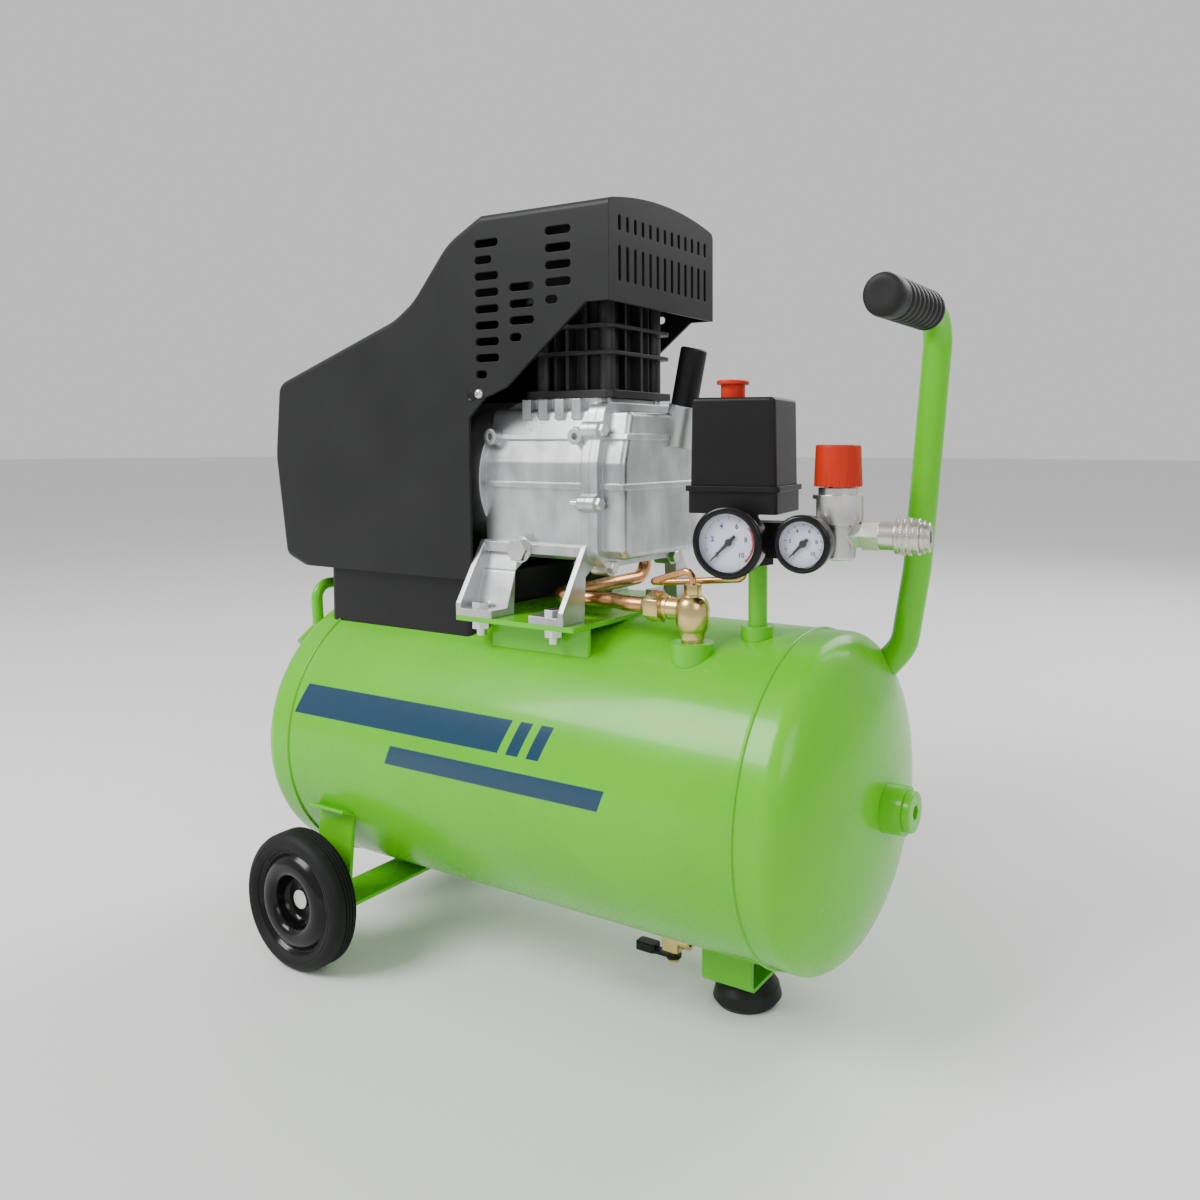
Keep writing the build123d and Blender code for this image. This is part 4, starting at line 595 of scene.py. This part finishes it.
class Bench:
    """Modelling operations that the sub-assemblies share."""

    @staticmethod
    def clear() -> None:
        """Leave edit mode and deselect everything."""
        if bpy.context.object and bpy.context.object.mode != "OBJECT":
            bpy.ops.object.mode_set(mode="OBJECT")
        bpy.ops.object.select_all(action="DESELECT")

    @staticmethod
    def turned(name: str, outline: Outline, pose: Pose, steps: int) -> bpy.types.Object:
        """Turn an outline round an axis, as on a lathe.

        Args:
            name: Name of the piece.
            outline: Radius and height pairs, in millimetres, from one end to the other.
            pose: Where the axis starts and which way it runs.
            steps: Facets round the piece.

        Returns:
            The turned piece, closed and smooth, at the origin.
        """
        Bench.clear()
        bpy.ops.mesh.primitive_plane_add(size=0.001)
        piece = bpy.context.object
        piece.name = name
        bpy.ops.object.mode_set(mode="EDIT")
        bpy.ops.mesh.select_all(action="SELECT")
        bpy.ops.mesh.merge(type="CENTER")
        first = outline[0]
        bpy.ops.transform.translate(value=(first[0] * MM, 0.0, first[1] * MM))
        for before, after in zip(outline, outline[1:]):
            step = ((after[0] - before[0]) * MM, 0.0, (after[1] - before[1]) * MM)
            bpy.ops.mesh.extrude_region_move(TRANSFORM_OT_translate={"value": step})
        bpy.ops.mesh.select_all(action="SELECT")
        bpy.ops.mesh.spin(steps=steps, angle=math.tau, center=(0, 0, 0), axis=(0, 0, 1))
        bpy.ops.mesh.select_all(action="SELECT")
        bpy.ops.mesh.remove_doubles(threshold=1e-6)
        bpy.ops.mesh.select_all(action="SELECT")
        bpy.ops.mesh.normals_make_consistent(inside=False)
        bpy.ops.object.mode_set(mode="OBJECT")
        return Bench.seat(piece, pose)

    @staticmethod
    def copied(piece: bpy.types.Object, poses: list[Matrix], name: str) -> bpy.types.Object:
        """Copy a piece to several places and join the copies.

        Args:
            piece: The piece to copy, which is used up.
            poses: Where each copy goes.
            name: Name of the result.

        Returns:
            All the copies as one piece.
        """
        copies = []
        for pose in poses:
            twin = piece.copy()
            twin.data = piece.data.copy()
            twin.data.transform(pose)
            bpy.context.scene.collection.objects.link(twin)
            copies.append(twin)
        bpy.data.objects.remove(piece)
        return Bench.joined(name, copies)

    @staticmethod
    def lettered(text: str, height: float, pose: Matrix) -> bpy.types.Object:
        """A raised number for a dial.

        Args:
            text: The number.
            height: Height of its figures.
            pose: Where its middle goes, in the plane it is printed on.

        Returns:
            The number as a mesh, at the origin.
        """
        Bench.clear()
        bpy.ops.object.text_add()
        words = bpy.context.object
        words.data.body = text
        words.data.size = height
        words.data.align_x, words.data.align_y = "CENTER", "CENTER"
        words.data.extrude = FIGURE_DEPTH
        words.data.offset = height * FIGURE_BOLDNESS
        bpy.ops.object.convert(target="MESH")
        made = bpy.context.object
        made.data.transform(pose)
        Bench.clear()
        return made

    @staticmethod
    def bar(name: str, size: Point, pose: Pose, round_by: float) -> bpy.types.Object:
        """A block with rounded edges.

        Args:
            name: Name of the piece.
            size: Lengths along the pose's x, y and z.
            pose: Where the block's centre is and how it is turned.
            round_by: Radius of its edges.

        Returns:
            The block, at the origin.
        """
        Bench.clear()
        bpy.ops.mesh.primitive_cube_add(size=1.0)
        piece = bpy.context.object
        piece.name = name
        bpy.ops.object.mode_set(mode="EDIT")
        bpy.ops.mesh.select_all(action="SELECT")
        bpy.ops.transform.resize(value=size)
        bpy.ops.mesh.bevel(offset=round_by, segments=2, affect="EDGES")
        bpy.ops.object.mode_set(mode="OBJECT")
        return Bench.seat(piece, pose)

    @staticmethod
    def hexagon(name: str, across: float, height: float, pose: Pose) -> bpy.types.Object:
        """A hexagon head or nut with bevelled corners.

        Args:
            name: Name of the piece.
            across: Width across the flats.
            height: Height of the head.
            pose: Where its base is and which way it stands.

        Returns:
            The hexagon, at the origin.
        """
        Bench.clear()
        radius = across / math.sqrt(3.0)
        bpy.ops.mesh.primitive_cylinder_add(vertices=6, radius=radius, depth=height)
        piece = bpy.context.object
        piece.name = name
        bpy.ops.object.mode_set(mode="EDIT")
        bpy.ops.mesh.select_all(action="SELECT")
        bpy.ops.transform.translate(value=(0.0, 0.0, height / 2))
        bpy.ops.mesh.bevel(offset=across * HEXAGON_BEVEL, segments=2, affect="EDGES")
        bpy.ops.object.mode_set(mode="OBJECT")
        return Bench.seat(piece, pose)

    @staticmethod
    def seat(piece: bpy.types.Object, pose: Pose) -> bpy.types.Object:
        """Put a piece built round the world's origin in its place, inside its mesh.

        Args:
            piece: The piece, with its axis along world z.
            pose: Where it goes.

        Returns:
            The same piece, smooth, at the origin.
        """
        piece.data.transform(pose.matrix())
        piece.data.update()
        Bench.clear()
        piece.select_set(True)
        bpy.context.view_layer.objects.active = piece
        bpy.ops.object.shade_smooth_by_angle(angle=SMOOTH_ANGLE)
        Bench.clear()
        return piece

    @staticmethod
    def joined(name: str, pieces: list[bpy.types.Object]) -> bpy.types.Object:
        """Join pieces into one object.

        Args:
            name: Name of the result.
            pieces: The pieces, which it uses up.

        Returns:
            The joined piece.
        """
        Bench.clear()
        for piece in pieces:
            piece.select_set(True)
        bpy.context.view_layer.objects.active = pieces[0]
        if len(pieces) > 1:
            bpy.ops.object.join()
        made = bpy.context.object
        made.name = name
        made.data.name = name
        Bench.clear()
        return made

    @staticmethod
    def centre(node: str) -> Vector:
        """Middle of a CAD node's box."""
        low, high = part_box(node)
        return (Vector(low) + Vector(high)) / 2


class SubAssembly:
    """Base of the machine's sub-assemblies."""

    title = "sub-assembly"
    painted: dict[str, Finish] = {}

    def __init__(self, frame: dict, cabinet: Cabinet) -> None:
        """Keep the frame and the finishes.

        Args:
            cabinet: Where the finishes are kept.
        """
        self.frame = frame
        self.cabinet = cabinet

    def joint(self, name: str) -> dict:
        """The record's entry for a joint."""
        for entry in self.frame["record"]["behaviour"]["joints"]:
            if entry["name"] == name:
                return entry
        raise KeyError(name)

    def add(self, piece: bpy.types.Object, finish: Finish, body: str = "frame") -> bpy.types.Object:
        """Dress a new piece and tie it to a body.

        Args:
            piece: The new piece.
            finish: Its finish.
            body: The CAD body it rides on.

        Returns:
            The same piece.
        """
        self.cabinet.dress(piece, finish)
        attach(piece, body)
        log.info("%s: added %s", self.title, piece.name)
        return piece

    def build(self) -> None:
        """Dress the CAD nodes of this sub-assembly, then add what they lack."""
        for node, finish in self.painted.items():
            self.cabinet.dress(self.frame["nodes"][node], finish)
            log.info("%s: dressed %s", self.title, node)
        self.add_pieces()

    def add_pieces(self) -> None:
        """Add the pieces that the CAD doesn't have."""


# ---- sub-assemblies ------------------------------------------------------------------------------


class AirTank(SubAssembly):
    """The green air tank with its brackets, bosses, foot and drain."""

    title = "air tank"
    painted = {
        "tank_shell": Finish.TANK_GREEN,
        "tank_bosses": Finish.GREEN,
        "tank_end_plug": Finish.GREEN,
        "saddle_bracket": Finish.GREEN,
        "wheel_bracket": Finish.GREEN,
        "foot_bracket": Finish.GREEN,
        "rear_loop": Finish.GREEN,
        "rubber_foot": Finish.RUBBER,
        "mounting_bolts": Finish.ZINC,
        "drain_valve": Finish.BRASS,
        "drain_lever": Finish.GLOSS_BLACK,
    }


class Handle(SubAssembly):
    """The bent tube handle with its ribbed grip."""

    title = "handle"
    painted = {"handle_tube": Finish.GREEN}
    ribs: int = 8
    rib_depth: float = 1.5
    wall: float = 4.0
    plain_start: float = 5.0
    plain_end: float = 12.0

    def add_pieces(self) -> None:
        """Turn the grip with a rounded end and evenly spaced ribs."""
        low, high = (Vector(corner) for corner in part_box("handle_grip"))
        centre = (low + high) / 2
        radius = (high.z - low.z) / 2 / MM
        length = (high.y - low.y) / MM
        pose = Pose(Vector((centre.x, high.y, centre.z)), -Y_AXIS)
        outline = [(radius - self.wall, 0.0), (radius - 2.0, 0.0), (radius - 0.6, 0.8)]
        outline += [(radius, 2.4), (radius, self.plain_start)]
        pitch = (length - self.plain_start - self.plain_end) / self.ribs
        groove = radius - self.rib_depth
        for rib in range(self.ribs):
            start = self.plain_start + rib * pitch
            outline += [(groove, start + pitch * 0.18), (groove, start + pitch * 0.32)]
            outline += [(radius - 0.2, start + pitch * 0.5), (radius, start + pitch * 0.75)]
            outline += [(radius - 0.2, start + pitch)]
        outline += [(radius, length - 9.0), (radius, length - 4.0), (radius - 0.8, length - 1.6)]
        outline += [(radius - 2.4, length - 0.5), (radius - 4.5, length)]
        outline += [(radius - 8.0, length - 0.2), (0.0, length - 0.4)]
        grip = Bench.turned("ribbed_grip", outline, pose, 72)
        self.add(grip, Finish.RUBBER)
        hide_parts("handle_grip")


class Wheels(SubAssembly):
    """The two wheels: dished hubs and grooved tyres. Sizes are in millimetres."""

    title = "wheels"
    painted = {"axle_bolts": Finish.ZINC}
    rim: float = 44.0
    tread: float = 58.0
    half_width: float = 12.5
    groove_depth: float = 1.2
    groove_top: float = 0.7
    groove_floor: float = 0.5
    groove_places: tuple[float, ...] = (-7.4, -4.6, -1.8, 1.0)

    def tyre_outline(self) -> Outline:
        """Section of the tyre, from the inner bead round to the outer one and back."""
        rim, tread, half = self.rim, self.tread, self.half_width
        inner = [(rim, -half + 3.2), (rim + 2.5, -half + 1.4), (rim + 6.0, -half + 0.3)]
        inner += [(rim + 9.5, -half + 0.6), (tread - 2.2, -half + 2.4), (tread - 0.6, -half + 4.6)]
        grooves = []
        low = tread - self.groove_depth
        for place in self.groove_places:
            grooves += [(tread, place - self.groove_top), (low, place - self.groove_floor)]
            grooves += [(low, place + self.groove_floor), (tread, place + self.groove_top)]
        outer = [(tread - 0.3, half - 6.4), (tread - 1.2, half - 4.0), (tread - 2.8, half - 2.0)]
        outer += [(tread - 5.0, half - 0.6), (rim + 7.0, half - 0.2), (rim + 5.4, half - 0.9)]
        outer += [(rim + 4.4, half - 0.4), (rim + 2.4, half - 1.2), (rim, half - 3.2)]
        return inner + grooves + outer + [(rim, -half + 3.2)]

    def hub_outline(self) -> Outline:
        """Section of the hub: a rounded dish round a deep centre, open for the axle."""
        rim = self.rim
        back = [(6.0, -3.0), (6.0, -11.5), (13.5, -11.8), (16.5, -4.0)]
        back += [(37.0, -5.0), (39.0, -9.0), (rim, -9.3)]
        lip = [(rim, 9.0), (43.4, 8.4), (42.6, 6.6), (41.6, 5.8), (40.4, 6.2), (39.2, 7.6)]
        dish = [(37.2, 9.4), (34.4, 11.1), (31.2, 12.0), (28.0, 12.1), (25.2, 11.4), (23.0, 9.8)]
        well = [(21.8, 7.2), (21.0, 3.4), (20.2, 0.2), (18.2, -2.0), (13.6, -2.9), (6.0, -3.0)]
        return back + lip + dish + well

    def add_pieces(self) -> None:
        """Turn a tyre and a hub for each wheel."""
        for name in ("front", "rear"):
            spin = self.joint(f"{name}_wheel_spin")
            centre = Vector(spin["pos_m"])
            pose = Pose(centre, Y_AXIS * math.copysign(1.0, centre.y))
            tyre = Bench.turned(f"{name}_wheel_tyre", self.tyre_outline(), pose, 96)
            hub = Bench.turned(f"{name}_wheel_hub", self.hub_outline(), pose, 96)
            self.add(tyre, Finish.TYRE, f"{name}_wheel")
            self.add(hub, Finish.GLOSS_BLACK, f"{name}_wheel")
            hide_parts(f"{name}_tyre")
            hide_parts(f"{name}_hub")


class Housing(SubAssembly):
    """The moulded hood and the air duct below it."""

    title = "hood"
    painted = {"hood": Finish.HOOD, "air_duct": Finish.BLACK}
    screw_place: tuple[float, float] = (-0.0505, 0.4815)
    dimple_place: tuple[float, float] = (-0.0590, 0.4800)

    def add_pieces(self) -> None:
        """Drive a button-head screw into each side of the hood, beside its moulded dimple."""
        low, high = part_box("hood")
        screw = [(0.0, 0.9), (1.5, 0.9), (1.7, 2.5), (2.6, 2.2), (3.6, 1.4)]
        screw += [(4.2, 0.4), (4.2, -0.4), (0.0, -0.4)]
        dimple = [(0.0, 0.15), (2.8, 0.15), (3.3, 0.6), (4.0, 0.7)]
        dimple += [(4.5, 0.3), (4.6, -0.3), (0.0, -0.3)]
        for side, y in (("front", low[1]), ("rear", high[1])):
            outwards = Y_AXIS * math.copysign(1.0, y)
            for kind, outline, place, finish in (
                ("screw", screw, self.screw_place, Finish.ZINC),
                ("dimple", dimple, self.dimple_place, Finish.BLACK),
            ):
                pose = Pose(Vector((place[0], y, place[1])), outwards)
                self.add(Bench.turned(f"{side}_hood_{kind}", outline, pose, 32), finish)


class Pump(SubAssembly):
    """The crankcase, cylinder, head and what turns inside them."""

    title = "pump"
    painted = {
        "crankcase": Finish.ALUMINIUM,
        "crankcase_cover": Finish.ALUMINIUM,
        "casing_screws": Finish.ZINC,
        "oil_plug": Finish.ZINC,
        "breather": Finish.BLACK,
        "cylinder": Finish.FINS,
        "valve_plate": Finish.STEEL,
        "cylinder_head": Finish.FINS,
        "head_bolts": Finish.ZINC,
        "intake_filter": Finish.BLACK,
        "piston": Finish.SOFT_ALUMINIUM,
        "piston_rings": Finish.STEEL,
        "piston_pin": Finish.STEEL,
        "connecting_rod": Finish.SOFT_ALUMINIUM,
        "crankshaft": Finish.STEEL,
        "bearings": Finish.STEEL,
        "rotor": Finish.STEEL,
        "stator": Finish.STEEL,
        "motor_end_cap": Finish.ALUMINIUM,
        "cooling_fan": Finish.BLACK,
    }


class Pipework(SubAssembly):
    """The discharge tube, check valve, unloader tube and riser."""

    title = "pipework"
    painted = {
        "discharge_tube": Finish.COPPER,
        "unloader_tube": Finish.COPPER,
        "riser_pipe": Finish.GREEN,
    }
    body_x: float = 0.141
    arm_height: float = 0.319
    nut_across: float = 0.021
    nut_height: float = 0.013
    cap_rise: float = 0.0465
    cap_across: float = 0.0115
    cap_height: float = 0.0085

    def add_pieces(self) -> None:
        """Turn the check valve's rounded body, its side arm with the union nut, and the ferrule."""
        low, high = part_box("check_valve")
        middle = (low[1] + high[1]) / 2
        upright = Pose(Vector((self.body_x, middle, low[2])), Z_AXIS, Y_AXIS)
        body = [(0.0, 0.0), (8.3, 0.0), (8.3, 14.0), (9.6, 14.4), (9.6, 19.0), (10.6, 20.6)]
        body += [(12.0, 23.4), (12.7, 27.0), (12.9, 32.0), (12.7, 37.0), (11.9, 40.8)]
        body += [(10.4, 43.8), (8.6, 45.4), (7.2, 46.0), (7.2, 47.0), (4.9, 47.6)]
        body += [(4.9, 49.0), (0.0, 49.0)]
        on_top = Pose(Vector((self.body_x, middle, low[2] + self.cap_rise)), Z_AXIS, Y_AXIS)
        sideways = Pose(Vector((low[0], middle, self.arm_height)), X_AXIS)
        arm = [(6.2, 1.0), (8.0, 1.4), (8.0, 15.0), (8.8, 15.6), (8.8, 18.0)]
        arm += [(8.0, 18.6), (8.0, 30.0), (6.2, 30.0), (6.2, 1.0)]
        ferrule = [(6.2, -4.6), (6.9, -4.4), (8.6, -0.4), (8.6, 1.0), (6.2, 1.0), (6.2, -4.6)]
        pieces = [
            Bench.turned("valve_body", body, upright, 64),
            Bench.hexagon("valve_cap", self.cap_across, self.cap_height, on_top),
            Bench.turned("valve_arm", arm, sideways, 48),
            Bench.hexagon("union_nut", self.nut_across, self.nut_height, sideways),
            Bench.turned("ferrule", ferrule, sideways, 48),
        ]
        valve = Bench.joined("turned_check_valve", pieces)
        self.add(valve, Finish.BRASS)
        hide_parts("check_valve")


class ControlUnit(SubAssembly):
    """The pressure switch, manifold, gauges, regulator and outlet coupler."""

    title = "control unit"
    painted = {
        "manifold": Finish.BLACK,
        "switch_base": Finish.BLACK,
        "switch_cover": Finish.BLACK,
        "switch_knob": Finish.RED,
        "cable_gland": Finish.BLACK,
        "gauge_dials": Finish.DIAL,
        "gauge_lenses": Finish.LENS,
        "tank_needle": Finish.BLACK_INK,
        "outlet_needle": Finish.BLACK_INK,
        "regulator_body": Finish.SOFT_ALUMINIUM,
        "regulator_knob": Finish.RED,
        "coupler_body": Finish.NICKEL,
        "coupler_sleeve": Finish.NICKEL,
        "safety_valve": Finish.BRASS,
        "safety_ring": Finish.ZINC,
    }
    knurls: int = 44
    knurl_rows: tuple[float, ...] = (-0.00285, 0.00165)
    knurl_size: Point = (0.0023, 0.0009, 0.0008)
    knurl_edge: float = 0.0002
    sleeve_radius: float = 0.0132

    def add_pieces(self) -> None:
        """Cut the knurl round the coupler's sleeve."""
        outwards = -Vector(self.joint("coupler_sleeve_slide")["axis"])
        middle = Bench.centre("coupler_sleeve")
        ridge = Bench.bar("ridge", self.knurl_size, FLAT, self.knurl_edge)
        places = []
        for row in self.knurl_rows:
            for number in range(self.knurls):
                turn = Matrix.Rotation(math.tau * number / self.knurls, 3, outwards)
                radial = turn @ Z_AXIS
                place = Matrix((outwards, radial.cross(outwards), radial)).transposed().to_4x4()
                place.translation = middle + outwards * row + radial * self.sleeve_radius
                places.append(place)
        self.add(Bench.copied(ridge, places, "sleeve_knurl"), Finish.NICKEL, "coupler_sleeve")


@dataclass(frozen=True)
class GaugeSize:
    """Sizes of one gauge in millimetres, and the joint of its needle."""

    name: str
    joint: str
    outer: float
    inner: float
    view: float
    card: float
    stem_length: float
    stem_shift: float


class Gauges(SubAssembly):
    """The two pressure gauges: cases, stems and printed dials."""

    title = "gauges"
    sizes = (
        GaugeSize("tank_gauge", "tank_needle_swing", 26.0, 23.2, 20.6, 18.6, 14.0, 0.0),
        GaugeSize("outlet_gauge", "outlet_needle_swing", 20.5, 18.0, 16.0, 14.2, 6.0, -9.0),
    )
    scale: tuple[int, ...] = (0, 2, 4, 6, 8, 10)
    case_depth: float = 14.0
    stem_across: float = 0.012
    ink_thickness: float = 0.0001
    ink_edge: float = 0.00002
    ink_lift: float = 0.06
    figure_height: float = 0.27
    figure_radius: float = 0.68
    arc_block: Point = (0.0015, 0.0023, 0.00006)
    arc_blocks: int = 14
    arc_start: float = 0.72
    arc_inset: float = 0.6
    arc_lift: float = 0.03
    sweep: float = math.radians(270.0)
    first: float = math.radians(225.0)
    minor_steps: int = 50

    def frames(self, size: GaugeSize) -> tuple[Vector, Vector, Vector]:
        """Centre of a dial's printed face, the way it faces, and its right."""
        entry = self.joint(size.joint)
        facing = -Vector(entry["axis"])
        right = Z_AXIS.cross(facing)
        return Vector(entry["pos_m"]), facing, right

    def plane(self, size: GaugeSize, angle: float, radius: float, turn: float, lift: float) -> Matrix:
        """Matrix that puts a mark on a dial.

        Args:
            size: Which gauge.
            angle: Angle of the mark round the dial.
            radius: Its distance from the centre, in millimetres.
            turn: Angle that the mark itself is turned by.
            lift: Height over the printed face, in millimetres.

        Returns:
            The matrix.
        """
        centre, facing, right = self.frames(size)
        up = facing.cross(right)
        made = Matrix((right, up, facing)).transposed().to_4x4()
        spot = right * math.cos(angle) + up * math.sin(angle)
        made.translation = centre + spot * radius * MM + facing * lift * MM
        return made @ Matrix.Rotation(turn, 4, "Z")

    def case(self, size: GaugeSize) -> bpy.types.Object:
        """Case with a rounded rim and a hexagon stem."""
        centre, facing, right = self.frames(size)
        outer, inner, view = size.outer, size.inner, size.view
        back = -self.case_depth
        outline = [(0.0, back), (outer - 4.0, back), (outer - 1.2, back + 1.4)]
        outline += [(outer - 0.6, back + 5.0), (outer - 0.6, 1.0), (outer, 1.8), (outer, 4.2)]
        outline += [(outer - 0.4, 5.4), (outer - 1.4, 6.2)]
        outline += [(outer - 2.8, 6.5), (view + 1.0, 6.3), (view + 0.2, 5.9), (view, 5.5)]
        outline += [(inner + 0.05, 5.45), (inner + 0.05, -1.2), (0.0, -1.2)]
        shell = Bench.turned(size.name + "_case", outline, Pose(centre, facing), 80)
        foot = centre - facing * (self.case_depth + size.stem_length) * MM
        foot += right * size.stem_shift * MM
        stem = Bench.hexagon(
            size.name + "_stem", self.stem_across, size.stem_length * MM, Pose(foot, facing)
        )
        return Bench.joined(size.name + "_case", [shell, stem])

    def ticks(self, size: GaugeSize, every: int, length: float, width: float) -> bpy.types.Object:
        """Printed scale lines.

        Args:
            size: Which gauge.
            every: Number of fine steps from one line to the next.
            length: Length of a line in millimetres.
            width: Width of a line in millimetres.

        Returns:
            The lines as one piece.
        """
        line = Bench.bar("line", (length * MM, width * MM, self.ink_thickness), FLAT, self.ink_edge)
        places = []
        for step in range(0, self.minor_steps + 1, every):
            angle = self.first - self.sweep * step / self.minor_steps
            radius = size.card - length / 2
            places.append(self.plane(size, angle, radius, angle, self.ink_lift))
        return Bench.copied(line, places, f"{size.name}_lines_{every}")

    def figures(self, size: GaugeSize) -> bpy.types.Object:
        """Printed numbers of the scale."""
        made = []
        height = size.card * self.figure_height * MM
        radius = size.card * self.figure_radius
        for figure in self.scale:
            angle = self.first - self.sweep * figure / self.scale[-1]
            place = self.plane(size, angle, radius, 0.0, self.ink_lift)
            made.append(Bench.lettered(str(figure), height, place))
        return Bench.joined(size.name + "_numbers", made)

    def warning_arc(self, size: GaugeSize) -> bpy.types.Object:
        """Red arc over the last part of the scale."""
        block = Bench.bar("block", self.arc_block, FLAT, self.ink_edge)
        places = []
        radius = size.card - self.arc_inset
        for step in range(self.arc_blocks):
            share = self.arc_start + (1.0 - self.arc_start) * step / (self.arc_blocks - 1)
            angle = self.first - self.sweep * share
            places.append(self.plane(size, angle, radius, angle, self.arc_lift))
        return Bench.copied(block, places, size.name + "_red_arc")

    def add_pieces(self) -> None:
        """Build both gauges."""
        cases = []
        for size in self.sizes:
            cases.append(self.case(size))
            self.add(self.ticks(size, every=1, length=1.2, width=0.26), Finish.BLUE_INK)
            self.add(self.ticks(size, every=5, length=2.2, width=0.55), Finish.BLUE_INK)
            self.add(self.figures(size), Finish.BLUE_INK)
        self.add(self.warning_arc(self.sizes[0]), Finish.RED_INK)
        case = Bench.joined("gauge_shells", cases)
        self.add(case, Finish.GLOSS_BLACK)
        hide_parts("gauge_cases")


# ---- studio --------------------------------------------------------------------------------------


@dataclass(frozen=True)
class Studio:
    """Pale floor, soft lights and the camera."""

    eye: Point = (0.5236, -0.6661, 0.4411)
    yaw: float = 0.5076
    pitch: float = 0.0547
    roll: float = 0.0015
    focal: float = 0.8167
    shift: tuple[float, float] = (-0.12, -0.085)
    sensor: float = 36.0
    floor_size: float = 60.0
    floor_tone: float = 0.76
    floor_roughness: float = 0.6
    world_tone: float = 0.95
    world_strength: float = 0.78
    target: Point = (0.0, 0.0, 0.3)

    def floor(self) -> None:
        """Lay a large, flat, pale floor."""
        Bench.clear()
        bpy.ops.mesh.primitive_plane_add(size=self.floor_size)
        floor = bpy.context.object
        floor.name = "floor"
        shading = Shading("studio floor")
        tone = (self.floor_tone,) * 3
        inputs = {"Base Color": tone, "Roughness": self.floor_roughness}
        floor.data.materials.append(shading.surface(inputs))

    def world(self) -> None:
        """Light the room evenly."""
        world = bpy.data.worlds.new("studio")
        world.use_nodes = True
        background = world.node_tree.nodes["Background"]
        background.inputs[0].default_value = (self.world_tone,) * 3 + (1.0,)
        background.inputs[1].default_value = self.world_strength
        bpy.context.scene.world = world

    def lamp(self, name: str, place: Point, size: float, power: float) -> None:
        """Hang one soft box that faces the machine.

        Args:
            name: Name of the lamp.
            place: Where it hangs.
            size: Width of its square face.
            power: Power in watts.
        """
        Bench.clear()
        bpy.ops.object.light_add(type="AREA", location=place)
        lamp = bpy.context.object
        lamp.name = name
        lamp.data.shape = "SQUARE"
        lamp.data.size = size
        lamp.data.energy = power
        aim = Vector(self.target) - Vector(place)
        lamp.rotation_mode = "QUATERNION"
        lamp.rotation_quaternion = aim.to_track_quat("-Z", "Y")

    def camera(self) -> None:
        """Set up the camera."""
        data = bpy.data.cameras.new("camera")
        camera = bpy.data.objects.new("camera", data)
        bpy.context.scene.collection.objects.link(camera)
        data.sensor_width = self.sensor
        data.lens = self.focal * self.sensor
        data.shift_x, data.shift_y = self.shift
        data.clip_start, data.clip_end = 0.01, 60.0
        forward = Vector(
            (
                -math.sin(self.yaw) * math.cos(self.pitch),
                math.cos(self.yaw) * math.cos(self.pitch),
                -math.sin(self.pitch),
            )
        )
        right = Vector((math.cos(self.yaw), math.sin(self.yaw), 0.0))
        up = right.cross(forward)
        tilted_right = right * math.cos(self.roll) + up * math.sin(self.roll)
        tilted_up = up * math.cos(self.roll) - right * math.sin(self.roll)
        made = Matrix((tilted_right, tilted_up, -forward)).transposed().to_4x4()
        made.translation = Vector(self.eye)
        camera.matrix_world = made
        bpy.context.scene.camera = camera

    def build(self) -> None:
        """Build the floor, the lights and the camera."""
        self.floor()
        self.world()
        self.lamp("key light", (-1.25, -1.9, 2.3), size=1.4, power=104.0)
        self.lamp("fill light", (2.2, -1.2, 1.6), size=1.2, power=18.0)
        self.lamp("rim light", (0.6, 2.0, 2.0), size=1.6, power=46.0)
        self.camera()


def main() -> None:
    """Build the whole machine."""
    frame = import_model()
    cabinet = Cabinet()
    for kind in (AirTank, Handle, Wheels, Housing, Pump, Pipework, ControlUnit, Gauges):
        kind(frame, cabinet).build()
    Studio().build()


if __name__ == "__main__":
    main()
